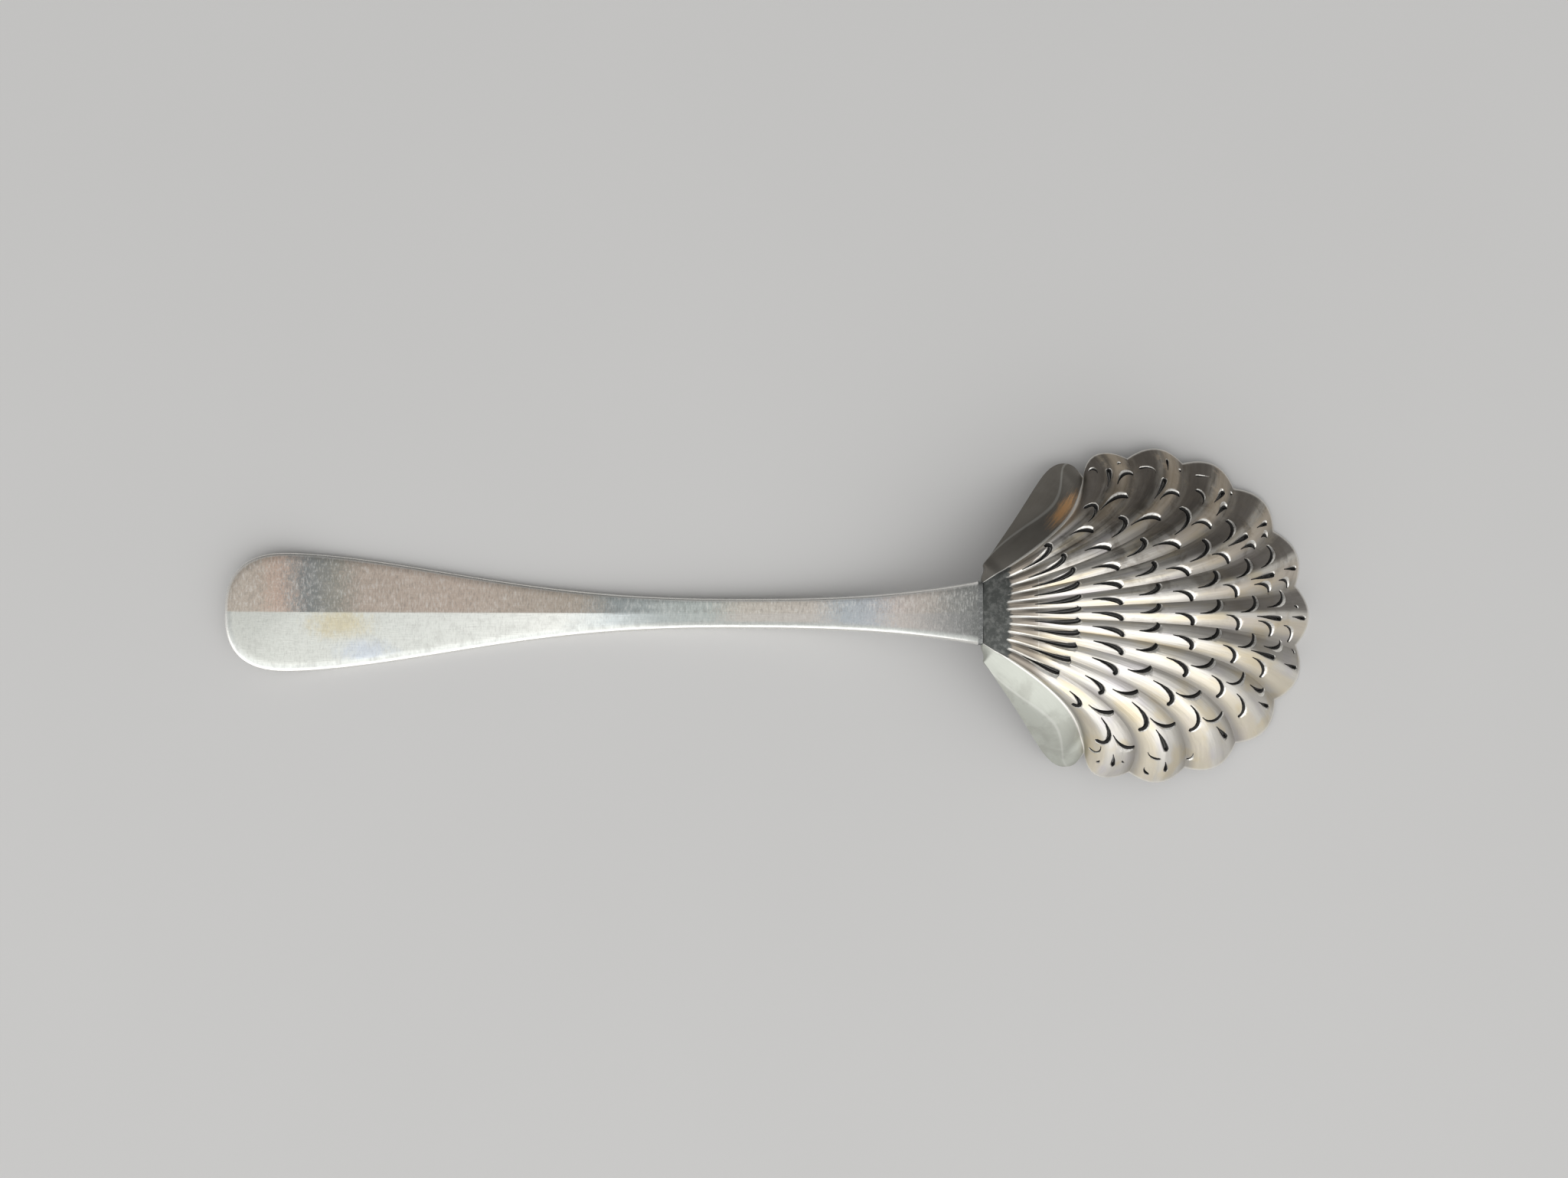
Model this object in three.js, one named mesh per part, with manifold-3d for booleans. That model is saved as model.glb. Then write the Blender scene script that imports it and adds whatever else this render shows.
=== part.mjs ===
// A sifter spoon that lies face down, with the back of its pierced shell bowl up.
// Millimetres, +Z up. X runs along the spoon, from the end of the handle to the front of the bowl.
// The origin is on the table, under the middle of the spoon's length and width.
import * as THREE from 'three';
import { mergeVertices } from 'three/addons/utils/BufferGeometryUtils.js';
import Module from 'manifold-3d';

const wasm = await Module();
wasm.setup();

// Lengths along the spoon
const handleLength = 143.5;
const bowlLength = 64.5;

// Handle: outline
const headWidth = 23;
const headReach = 12;
const headRoundness = 2.6;
const tipBluntness = 0.005;
const waistWidth = 5.7;
const waistToJoint = 47;
const neckWidth = 11.6;
const neckFlare = 2.8;

// Handle: share of the head's extra width that is left along the taper, from the head to the waist
const taperShares = [1, 0.93, 0.14, 0.02, 0];

// Handle: rise of the underside, seen from the side
const tipRise = 3.2;
const tipToRest = 28;
const restLength = 31;
const stemBendToJoint = 25.5;
const stemSweep = 19.5;
const neckSlope = 33;

// Handle: section
const headEdge = 1.4;
const headCrown = 0.3;
const waistEdge = 2.2;
const waistCrown = 0.45;
const neckEdge = 2.0;
const neckCrown = 0.5;
const ridgeHeight = 0.35;
const ridgeLength = 84;
const cornerInset = 0.4;

// Solder seam between handle and bowl
const seamWidth = 0.6;
const seamProud = 0.15;
const seamClearance = 0.1;
const seamShoulder = 0.3;

// Bowl: rim, seen from above
const jointHeight = 16.6;
const rimRadius = 31.6;
const rimSpread = 0.4;
const rimTilt = 6.2;
const creaseNotch = 2;
const wall = 1.0;

// Bowl: fan of lobes, in degrees for one lobe and in lobes for the places across the fan
const lobeCount = 11;
const rimTurn = 22;
const rimTurnEase = -0.024;
const heelTurn = 3.76;
const heelTurnEase = 0.073;
const edgeTurn = 24;
const creaseTurnBack = 50;
const heelPull = 0.72;
const rimPull = 0.2;

// Bowl: height of the back above the straight line from heel to rim, at four places along a rib
const archHeights = [16.7, 6.5, 8.6, 5.7];

// Bowl: grooves between the lobes
const heelPatch = 5.5;
const grooveAtHeel = 0.3;
const grooveAtRim = 1.5;
const grooveFullAt = 0.8;

// Bowl: places along a rib where the thick heel ends and where the rim starts to level out
const heelFaceEnd = 0.05;
const thickHeelEnd = 0.08;
const rimLevelStart = 0.8;

// Ears beside the heel
const earLip = 0.8;
const earReach = 7.6;
const earFullness = 0.5;
const earLean = 1.25;
const earTurn = 18;
const earDrop = 0.6;
const earCrown = 0.5;

// Piercing: width of the slots, and how far the cutters pass through the wall
const slotWidth = 0.8;
const commaShape = [0.3, 1, 0.7];
const crestSlotShape = [[0, 0.3], [0.2, 0.75], [0.8, 1], [1, 0.5]];
const cutterReach = 0.6;

// Piercing: rings of commas. Each starts on the crest of a lobe and ends in the valley on one side.
// from and to are places along the rib on the axis, fromEase and toEase move them out on outer lobes.
const commaRings = [
  { from: 0.06, fromEase: 0.05, to: 0.135, toEase: 0.12, side: 1, lobes: [-5, 5] },
  { from: 0.155, fromEase: 0.165, to: 0.21, toEase: 0.2, side: -1, lobes: [-5, 5] },
  { from: 0.245, fromEase: 0.17, to: 0.29, toEase: 0.25, side: 1, lobes: [-5, 5] },
  { from: 0.325, fromEase: 0.18, to: 0.38, toEase: 0.34, side: -1, lobes: [-5, 5] },
  { from: 0.395, fromEase: 0.26, to: 0.47, toEase: 0.4, side: 1, lobes: [-5, 4] },
  { from: 0.485, fromEase: 0.25, to: 0.55, toEase: 0.4, side: -1, lobes: [-3, 5] },
  { from: 0.545, fromEase: 0.36, to: 0.64, toEase: 0.45, side: 1, lobes: [-3, 2] },
  { from: 0.635, fromEase: 0.3, to: 0.75, toEase: 0.33, side: -1, lobes: [-2, 3] },
  { from: 0.72, fromEase: 0.4, to: 0.85, toEase: 0.2, side: 1, lobes: [-2, 2] },
  { from: 0.81, fromEase: 0.4, to: 0.92, toEase: 0, side: -1, lobes: [0, 2] },
];

// Piercing: straight slots along the crests, by lobe on either side of the axis
const crestSlots = [
  { from: 0.63, to: 0.78, lobes: [-2, -1, 0, 1, 2] },
  { from: 0.75, to: 0.88, lobes: [-3, 3] },
  { from: 0.6, to: 0.76, lobes: [-4, 4] },
  { from: 0.7, to: 0.85, lobes: [-5, 5] },
  { from: 0.86, to: 0.95, lobes: [-2, -1, 0, 1, 2] },
  { from: 0.84, to: 0.92, lobes: [-4] },
];

// Places that follow from the sizes
const tipX = -(handleLength + bowlLength) / 2;
const jointX = tipX + handleLength;
const frontX = jointX + bowlLength;
const rimCentreX = frontX - rimRadius;
const fanEdge = lobeCount / 2;
const neckThickness = neckEdge + neckCrown;
const jointBottom = jointHeight - neckThickness;
const jointFace = seamWidth / 2 + seamClearance;
const heelHalfWidth = neckWidth / 2 - seamShoulder;

const rad = THREE.MathUtils.degToRad;
const ease = (from, to, value) => THREE.MathUtils.smoothstep(value, from, to);
const mix = THREE.MathUtils.lerp;

function bezier(values, t) {
  let points = values;
  while (points.length > 1) {
    points = points.slice(1).map((value, i) => mix(points[i], value, t));
  }
  return points[0];
}

// A closed body from rings of points. Every ring has the same count, and runs the same way round.
function loft(rings) {
  const count = rings[0].length;
  const positions = rings.flat(2);
  const index = [];
  for (let i = 0; i < rings.length - 1; i++) {
    for (let j = 0; j < count; j++) {
      const a = i * count + j;
      const b = i * count + (j + 1) % count;
      index.push(a, b, b + count, a, b + count, a + count);
    }
  }
  const last = (rings.length - 1) * count;
  for (let j = 1; j < count - 1; j++) {
    index.push(0, j + 1, j);
    index.push(last, last + j, last + j + 1);
  }
  const geometry = new THREE.BufferGeometry();
  geometry.setAttribute('position', new THREE.Float32BufferAttribute(positions, 3));
  geometry.setIndex(index);
  return geometry;
}

function toManifold(geometry) {
  const bare = new THREE.BufferGeometry();
  bare.setAttribute('position', geometry.attributes.position);
  bare.setIndex(geometry.index);
  const merged = mergeVertices(bare, 1e-5);
  const mesh = new wasm.Mesh({
    numProp: 3,
    vertProperties: merged.attributes.position.array,
    triVerts: new Uint32Array(merged.index.array),
  });
  return new wasm.Manifold(mesh);
}

function fromManifold(solid) {
  const mesh = solid.getMesh();
  const geometry = new THREE.BufferGeometry();
  geometry.setAttribute('position', new THREE.BufferAttribute(mesh.vertProperties, 3));
  geometry.setIndex(new THREE.BufferAttribute(mesh.triVerts, 1));
  return geometry;
}

function silver(color, roughness) {
  return new THREE.MeshStandardMaterial({ color, roughness, metalness: 1 });
}

// Handle

const waistAt = handleLength - waistToJoint;

// Half width at a distance from the tip: a round head, a long taper to the waist and a flared neck
function handleHalfWidth(distance) {
  if (distance < headReach) {
    const inward = (1 - tipBluntness) * (1 - distance / headReach);
    return headWidth / 2 * (1 - inward ** headRoundness) ** (1 / headRoundness);
  }
  if (distance < waistAt) {
    const t = (distance - headReach) / (waistAt - headReach);
    return mix(waistWidth, headWidth, bezier(taperShares, t)) / 2;
  }
  const t = (distance - waistAt) / waistToJoint;
  return mix(waistWidth, neckWidth, t ** neckFlare) / 2;
}

// Edge, crown and ridge of the section at a distance from the tip. The back is a low roof as far as
// the ridge goes, and rounded from there on.
function handleSection(distance) {
  const toWaist = ease(tipToRest + restLength / 2, waistAt, distance);
  const toNeck = ease(waistAt, handleLength, distance);
  const inFromTip = ease(0, headReach, distance);
  const outToStem = ease(ridgeLength - headReach, ridgeLength, distance);
  return {
    edge: mix(mix(headEdge, waistEdge, toWaist), neckEdge, toNeck),
    crown: mix(mix(headCrown, waistCrown, toWaist), neckCrown, toNeck),
    ridge: ridgeHeight * inFromTip * (1 - outToStem),
  };
}

// Stations as distance from the tip and height of the underside
function handleStations() {
  const stations = [];
  const tipSteps = 7;
  for (let i = 0; i < tipSteps; i++) {
    const angle = rad(mix(0, 84, i / (tipSteps - 1)));
    stations.push(headReach * (1 - Math.cos(angle) ** (2 / headRoundness)));
  }
  const headSteps = 4;
  for (let i = 1; i <= headSteps; i++) {
    stations.push(mix(headReach, tipToRest, i / headSteps));
  }
  const rises = stations.map((distance) => [distance, tipRise * (1 - distance / tipToRest) ** 2]);
  const restEnd = tipToRest + restLength;
  const restSteps = 3;
  for (let i = 1; i <= restSteps; i++) {
    rises.push([mix(tipToRest, restEnd, i / restSteps), 0]);
  }
  const bendAt = handleLength - stemBendToJoint;
  const sweepAt = handleLength - stemSweep;
  const sweepHeight = jointBottom - stemSweep * Math.tan(rad(neckSlope));
  const stemSteps = 20;
  for (let i = 1; i <= stemSteps; i++) {
    const t = i / stemSteps;
    rises.push([
      bezier([restEnd, bendAt, sweepAt, handleLength], t),
      bezier([0, 0, sweepHeight, jointBottom], t),
    ]);
  }
  return rises;
}

// Ring of a section, from the bottom corner on one side, over the back, to the other corner
function handleRing(x, distance, bottom, grow) {
  const half = handleHalfWidth(distance);
  const { edge, crown, ridge } = handleSection(distance);
  const top = (y) => edge + crown * (1 - (y / half) ** 2) + ridge * (1 - Math.abs(y) / half);
  const inset = Math.min(cornerInset, half / 5);
  const side = [
    [half - inset, 0],
    [half, edge * 0.3],
    [half, edge * 0.75],
    [half - inset, top(half - inset)],
    [half * 0.65, top(half * 0.65)],
    [half * 0.35, top(half * 0.35)],
  ];
  const outline = [...side, [0, top(0)], ...side.toReversed().map(([y, z]) => [-y, z])];
  const middle = neckThickness / 2;
  return outline.map(([y, z]) => [
    x,
    y * (1 + grow / half),
    bottom + z + grow * (z > middle ? 1 : -1),
  ]);
}

function makeHandle() {
  const rings = handleStations().map(([distance, bottom], i, all) => {
    const isEnd = i === all.length - 1;
    const x = tipX + distance - (isEnd ? jointFace : 0);
    return handleRing(x, distance, bottom, 0);
  });
  const mesh = new THREE.Mesh(loft(rings), silver(0xb9b3a6, 0.34));
  mesh.name = 'handle';
  return mesh;
}

// A thin bead of solder that fills the joint and stands a little proud all round
function makeSeam() {
  const steps = [
    [-seamWidth / 2, 0],
    [-seamWidth / 4, seamProud],
    [seamWidth / 4, seamProud],
    [seamWidth / 2, 0],
  ];
  const rings = steps.map(([x, grow]) => handleRing(jointX + x, handleLength, jointBottom, grow));
  const mesh = new THREE.Mesh(loft(rings), silver(0x8f8b84, 0.5));
  mesh.name = 'solder_seam';
  return mesh;
}

// Bowl

// Smooth back of the bowl, before the grooves. lobe runs from -fanEdge to fanEdge across the fan,
// along runs from 0 at the heel to 1 at the rim.
function fanPoint(lobe, along) {
  const share = lobe / fanEdge;
  const pastLobes = Math.max(0, (Math.abs(lobe) - fanEdge + 0.5) / 0.5);
  const rimAngle = rad(rimTurn * lobe + rimTurnEase * lobe ** 3);
  const radius = rimRadius + rimSpread * Math.abs(share) ** 3 - creaseNotch * pastLobes ** 2;
  const startX = jointX + jointFace;
  const startY = heelHalfWidth * share;
  const endX = rimCentreX + radius * Math.cos(rimAngle);
  const endY = radius * Math.sin(rimAngle);
  const chord = Math.hypot(endX - startX, endY - startY);
  const startAngle = rad(heelTurn * lobe + heelTurnEase * lobe ** 3);
  const endAngle = rad(edgeTurn * lobe - Math.sign(lobe) * creaseTurnBack * pastLobes ** 2);
  const x = bezier([
    startX,
    startX + heelPull * chord * Math.cos(startAngle),
    endX - rimPull * chord * Math.cos(endAngle),
    endX,
  ], along);
  const y = bezier([
    startY,
    startY + heelPull * chord * Math.sin(startAngle),
    endY - rimPull * chord * Math.sin(endAngle),
    endY,
  ], along);
  const startZ = jointHeight - neckCrown * share ** 2;
  const endZ = (frontX - endX) * Math.tan(rad(rimTilt));
  const arch = [0, ...archHeights, 0].map((height) => height * chord / bowlLength);
  const z = mix(startZ, endZ, along) + bezier(arch, along);
  return new THREE.Vector3(x, y, z);
}

function surfaceNormal(surface, across, along) {
  const step = 1e-3;
  const before = Math.max(0, along - step);
  const after = Math.min(1, along + step);
  const alongTangent = surface(across, after).sub(surface(across, before));
  const acrossTangent = surface(across + step, along).sub(surface(across - step, along));
  return alongTangent.cross(acrossTangent).normalize();
}

// Depth of the groove: nothing on a crest and on the heel patch, and full in a valley
function grooveDepth(lobe, along) {
  const patchShare = heelPatch / bowlLength / (3 * heelPull);
  const begun = ease(patchShare, 2 * patchShare, along);
  const depth = mix(grooveAtHeel, grooveAtRim, Math.min(1, along / grooveFullAt));
  return begun * depth * (1 - Math.abs(Math.cos(Math.PI * lobe)));
}

// At the rim the grooves and the wall go in level, so that the edge lies in one plane.
// At the heel the wall goes straight down, so that the face of the joint is flat.
function wallDirection(normal, along) {
  const level = ease(rimLevelStart, 1, along);
  const upright = 1 - ease(0, heelFaceEnd, along);
  const levelNormal = new THREE.Vector3(normal.x, normal.y, 0);
  levelNormal.divideScalar(levelNormal.lengthSq());
  const uprightNormal = new THREE.Vector3(0, normal.y, normal.z);
  uprightNormal.divideScalar(uprightNormal.lengthSq());
  return normal.clone().lerp(levelNormal, level).lerp(uprightNormal, upright);
}

function lobedPoint(lobe, along) {
  const normal = surfaceNormal(fanPoint, lobe, along);
  const inward = wallDirection(normal, along).multiplyScalar(-grooveDepth(lobe, along));
  return fanPoint(lobe, along).add(inward);
}

// Ears: a wing that starts at the last groove and falls away to a round free edge. out runs from 0
// at the groove to 1 at the free edge.
function earPoint(sideSign, out, along) {
  const heelEnd = lobedPoint(sideSign * fanEdge, 0);
  const rimEnd = lobedPoint(sideSign * fanEdge, 1);
  const creaseAngle = Math.atan2(rimEnd.y - heelEnd.y, rimEnd.x - heelEnd.x);
  const quarterTurn = sideSign * Math.PI / 2;
  const squareOut = mix(quarterTurn, creaseAngle + quarterTurn, ease(0, heelFaceEnd, along));
  const outAngle = squareOut - sideSign * rad(earTurn) * along;
  const swell = Math.sin(Math.PI * along ** earLean) ** earFullness;
  const reach = (earLip + earReach * swell) * out;
  const crown = earCrown * Math.sin(Math.PI * out) * swell;
  const crease = lobedPoint(sideSign * fanEdge, along);
  return new THREE.Vector3(
    crease.x + reach * Math.cos(outAngle),
    crease.y + reach * Math.sin(outAngle),
    crease.z - reach * earDrop + crown,
  );
}

// One point of the back with its wall direction. Past fanEdge, across counts the width of an ear.
function shellPoint(across, along) {
  const sideSign = Math.sign(across);
  const past = Math.abs(across) - fanEdge;
  const lobe = THREE.MathUtils.clamp(across, -fanEdge, fanEdge);
  const fanNormal = surfaceNormal(fanPoint, lobe, along);
  if (past < 0) {
    return { point: lobedPoint(across, along), normal: fanNormal };
  }
  const ear = (out, place) => earPoint(sideSign, sideSign * out, place);
  const earNormal = surfaceNormal(ear, sideSign * past, along);
  const normal = past > 0 ? earNormal : earNormal.add(fanNormal).normalize();
  return { point: earPoint(sideSign, past, along), normal };
}

// Rows from heel to rim, close together where the wall and the grooves begin and end
const rows = [0, 0.03, 0.06, 0.12, 0.22, 0.34, 0.48, 0.62, 0.76, 0.88, 1];
const columnsPerLobe = 4;
const columnsPerEar = 3;

function shellColumns() {
  const columns = [];
  for (let i = columnsPerEar; i > 0; i--) {
    columns.push(-fanEdge - i / columnsPerEar);
  }
  const steps = lobeCount * columnsPerLobe;
  for (let i = 0; i <= steps; i++) {
    columns.push(mix(-fanEdge, fanEdge, i / steps));
  }
  for (let i = 1; i <= columnsPerEar; i++) {
    columns.push(fanEdge + i / columnsPerEar);
  }
  return columns;
}

function makeShell() {
  const rings = shellColumns().map((across) => {
    const outer = [];
    const inner = [];
    for (const along of rows) {
      const { point, normal } = shellPoint(across, along);
      const thickness = mix(neckThickness, wall, ease(0, thickHeelEnd, along));
      const under = point.clone().addScaledVector(wallDirection(normal, along), -thickness);
      outer.push(point.toArray());
      inner.push(under.toArray());
    }
    return [...outer, ...inner.toReversed()];
  });
  return loft(rings);
}

// A cutter through the wall, along a path of [lobe, along] places with a half width at each
function makeCutter(path, halfWidths) {
  const lifted = (lobe, along) => {
    const normal = surfaceNormal(fanPoint, lobe, along);
    return { point: lobedPoint(lobe, along), normal };
  };
  const places = path.map(([lobe, along]) => lifted(lobe, along));
  const rings = places.map(({ point, normal }, i) => {
    const before = places[Math.max(0, i - 1)].point;
    const after = places[Math.min(places.length - 1, i + 1)].point;
    const side = after.clone().sub(before).cross(normal).normalize();
    const corner = (sideways, up) => point.clone()
      .addScaledVector(side, sideways * halfWidths[i])
      .addScaledVector(normal, up)
      .toArray();
    const above = cutterReach;
    const below = -wall - cutterReach;
    return [corner(-1, above), corner(1, above), corner(1, below), corner(-1, below)];
  });
  return toManifold(loft(rings));
}

function makeCommas() {
  const halfWidths = commaShape.map((share) => share * slotWidth / 2);
  const steps = commaShape.length - 1;
  const cutters = [];
  for (const ring of commaRings) {
    for (let lobe = ring.lobes[0]; lobe <= ring.lobes[1]; lobe++) {
      const headLobe = lobe + ring.side / 2;
      const tail = ring.from + ring.fromEase * (lobe / fanEdge) ** 2;
      const head = ring.to + ring.toEase * (headLobe / fanEdge) ** 2;
      const path = [];
      for (let i = 0; i <= steps; i++) {
        const angle = Math.PI / 2 * i / steps;
        path.push([
          lobe + ring.side / 2 * (1 - Math.cos(angle)),
          mix(tail, head, Math.sin(angle)),
        ]);
      }
      cutters.push(makeCutter(path, halfWidths));
    }
  }
  return cutters;
}

function makeCrestSlots() {
  const cutters = [];
  for (const slot of crestSlots) {
    for (const lobe of slot.lobes) {
      const path = crestSlotShape.map(([t]) => [lobe, mix(slot.from, slot.to, t)]);
      const halfWidths = crestSlotShape.map(([, share]) => share * slotWidth / 2);
      cutters.push(makeCutter(path, halfWidths));
    }
  }
  return cutters;
}

function makeBowl() {
  let solid = toManifold(makeShell());
  for (const cutter of [...makeCommas(), ...makeCrestSlots()]) {
    solid = solid.subtract(cutter);
  }
  const mesh = new THREE.Mesh(fromManifold(solid), silver(0xd9d6cf, 0.28));
  mesh.name = 'bowl';
  return mesh;
}

const spoon = new THREE.Group();
spoon.add(makeHandle(), makeSeam(), makeBowl());

export default spoon;
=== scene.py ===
from math import atan2, cos, hypot, pi, radians, sin, sqrt, tan

import bmesh
import bpy
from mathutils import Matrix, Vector


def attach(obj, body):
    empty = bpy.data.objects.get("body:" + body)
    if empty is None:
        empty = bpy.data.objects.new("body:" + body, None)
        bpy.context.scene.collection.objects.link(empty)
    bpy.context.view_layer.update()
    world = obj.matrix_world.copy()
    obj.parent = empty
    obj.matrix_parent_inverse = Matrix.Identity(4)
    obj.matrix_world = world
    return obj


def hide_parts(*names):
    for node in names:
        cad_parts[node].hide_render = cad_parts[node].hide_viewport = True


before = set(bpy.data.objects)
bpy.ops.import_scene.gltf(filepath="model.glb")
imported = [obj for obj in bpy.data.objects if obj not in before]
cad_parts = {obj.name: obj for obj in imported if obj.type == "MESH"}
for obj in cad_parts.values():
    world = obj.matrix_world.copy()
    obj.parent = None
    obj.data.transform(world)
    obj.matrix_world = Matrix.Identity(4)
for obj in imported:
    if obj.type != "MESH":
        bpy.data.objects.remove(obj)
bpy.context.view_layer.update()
scene = bpy.context.scene
scene.view_settings.view_transform = "Standard"
print("frame loaded:", sorted(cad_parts))

# lengths are in metres and turns in degrees; the spoon lies along X with the back of its bowl up


# small helpers

def mix(a, b, t):
    return a + (b - a) * t


def clamp(value, low, high):
    return max(low, min(high, value))


def ease(start, end, value):
    t = clamp((value - start) / (end - start), 0, 1)
    return t * t * (3 - 2 * t)


def bezier(values, t):
    points = list(values)
    while len(points) > 1:
        points = [mix(a, b, t) for a, b in zip(points, points[1:])]
    return points[0]


def addObject(name, data):
    piece = bpy.data.objects.new(name, data)
    scene.collection.objects.link(piece)
    return piece


def pieceFrom(bm, name):
    mesh = bpy.data.meshes.new(name)
    bm.to_mesh(mesh)
    bm.free()
    return addObject(name, mesh)


def sheetPiece(name, cellsAlong, cellsAcross, place, uvOf=None, undersideSlot=0):
    # a grid for the back, a turned copy for the underside, and a wall that bridges their edges
    bm = bmesh.new()
    bmesh.ops.create_grid(bm, x_segments=cellsAlong, y_segments=cellsAcross, size=0.5)
    back = bm.verts[:]
    copied = bmesh.ops.duplicate(bm, geom=bm.verts[:] + bm.edges[:] + bm.faces[:])
    twins = copied["vert_map"]
    underFaces = [part for part in copied["geom"] if isinstance(part, bmesh.types.BMFace)]
    bmesh.ops.reverse_faces(bm, faces=underFaces)
    for face in underFaces:
        face.material_index = undersideSlot
    spots = {}
    for vert in back:
        along = round((vert.co.x + 0.5) * cellsAlong) / cellsAlong
        across = round((vert.co.y + 0.5) * cellsAcross) / cellsAcross
        top, under = place(along, across)
        twin = twins[vert]
        vert.co = top
        twin.co = under
        spots[vert] = spots[twin] = (along, across)
    rims = [edge for edge in bm.edges if edge.is_boundary]
    bmesh.ops.bridge_loops(bm, edges=rims)
    bmesh.ops.recalc_face_normals(bm, faces=bm.faces[:])
    if uvOf:
        uvLayer = bm.loops.layers.uv.new("fan")
        for face in bm.faces:
            for loop in face.loops:
                loop[uvLayer].uv = uvOf(*spots[loop.vert])
    return pieceFrom(bm, name)


def shadeByAngle(piece, degrees, crease=None):
    bm = bmesh.new()
    bm.from_mesh(piece.data)
    for face in bm.faces:
        face.smooth = True
    for edge in bm.edges:
        angle = edge.calc_face_angle(0)
        edge.smooth = angle < radians(degrees) and not (crease and crease(edge))
    bm.to_mesh(piece.data)
    bm.free()


# handle

handle = {
    "length": 0.1435,
    "tipX": -0.104,
    "headWidth": 0.023,
    "headReach": 0.012,
    "headRoundness": 2.6,
    "waistWidth": 0.0057,
    "waistToJoint": 0.047,
    "neckWidth": 0.0116,
    "neckFlare": 2.8,
    "taperShares": [1, 0.93, 0.14, 0.02, 0],
    "tipRise": 0.0032,
    "tipToRest": 0.028,
    "restLength": 0.031,
    "stemBendToJoint": 0.0255,
    "stemSweep": 0.0195,
    "neckSlope": 33,
    "headEdge": 0.0014,
    "headCrown": 0.0003,
    "waistEdge": 0.0022,
    "waistCrown": 0.00045,
    "neckEdge": 0.002,
    "neckCrown": 0.0005,
    "ridgeHeight": 0.00035,
    "ridgeLength": 0.084,
    "bevelWidth": 0.0014,
    "edgeRound": 0.0004,
    "stemFlatness": 14,
    "jointHeight": 0.0166,
    "seamWidth": 0.0006,
    "seamClearance": 0.0001,
    "edgeRoundShare": 0.28,
    "bevelCurve": 1.6,
    "bevelMost": 0.6,
    "ridgeAtTip": 0.3,
    "ridgeSharpAbove": 0.0012,
    "smoothBelow": 50,
    "headCells": 16,
    "tipCells": 10,
    "restCells": 16,
    "stemCells": 48,
    "cellsAcross": 36,
    "rimMapScale": 50,
}
waistAt = handle["length"] - handle["waistToJoint"]
jointX = handle["tipX"] + handle["length"]
neckThickness = handle["neckEdge"] + handle["neckCrown"]
jointBottom = handle["jointHeight"] - neckThickness
jointFace = handle["seamWidth"] / 2 + handle["seamClearance"]


def crowdedAcross(across):
    # from one edge to the other as -1 to 1, with the cells crowded towards both
    side = across * 2 - 1
    return (1 - (1 - abs(side)) ** 2) * (1 if side > 0 else -1)


def handleHalfWidth(distance):
    if distance < handle["headReach"]:
        inward = 1 - distance / handle["headReach"]
        roundness = handle["headRoundness"]
        return handle["headWidth"] / 2 * (1 - inward ** roundness) ** (1 / roundness)
    if distance < waistAt:
        t = (distance - handle["headReach"]) / (waistAt - handle["headReach"])
        return mix(handle["waistWidth"], handle["headWidth"], bezier(handle["taperShares"], t)) / 2
    t = (distance - waistAt) / handle["waistToJoint"]
    return mix(handle["waistWidth"], handle["neckWidth"], t ** handle["neckFlare"]) / 2


def headOutline(turn):
    # turn is 0 at the tip and a quarter turn where the head is widest
    power = 2 / handle["headRoundness"]
    side = abs(sin(turn)) ** power * handle["headWidth"] / 2
    inward = abs(cos(turn)) ** power
    return Vector((handle["headReach"] * (1 - inward), side if turn > 0 else -side))


def headPlace(inFromTip, across):
    # a patch between the round front, the two sides and the widest section
    side = (across + 1) / 2
    front = headOutline(across * pi / 4)
    section = Vector((handle["headReach"], across * handle["headWidth"] / 2))
    left = headOutline(-pi / 4 * (1 + inFromTip))
    right = headOutline(pi / 4 * (1 + inFromTip))
    corners = (
        headOutline(-pi / 4) * (1 - inFromTip) * (1 - side)
        + headOutline(pi / 4) * (1 - inFromTip) * side
        + Vector((handle["headReach"], -handle["headWidth"] / 2)) * inFromTip * (1 - side)
        + Vector((handle["headReach"], handle["headWidth"] / 2)) * inFromTip * side
    )
    return front * (1 - inFromTip) + section * inFromTip + left * (1 - side) + right * side - corners


def rimDistance(distance, y):
    if distance >= handle["headReach"]:
        return handleHalfWidth(distance) - abs(y)
    roundness = handle["headRoundness"]
    inward = 1 - distance / handle["headReach"]
    sideways = abs(y) / (handle["headWidth"] / 2)
    level = (inward ** roundness + sideways ** roundness) ** (1 / roundness)
    return (1 - level) * handle["headWidth"] / 2


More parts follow.
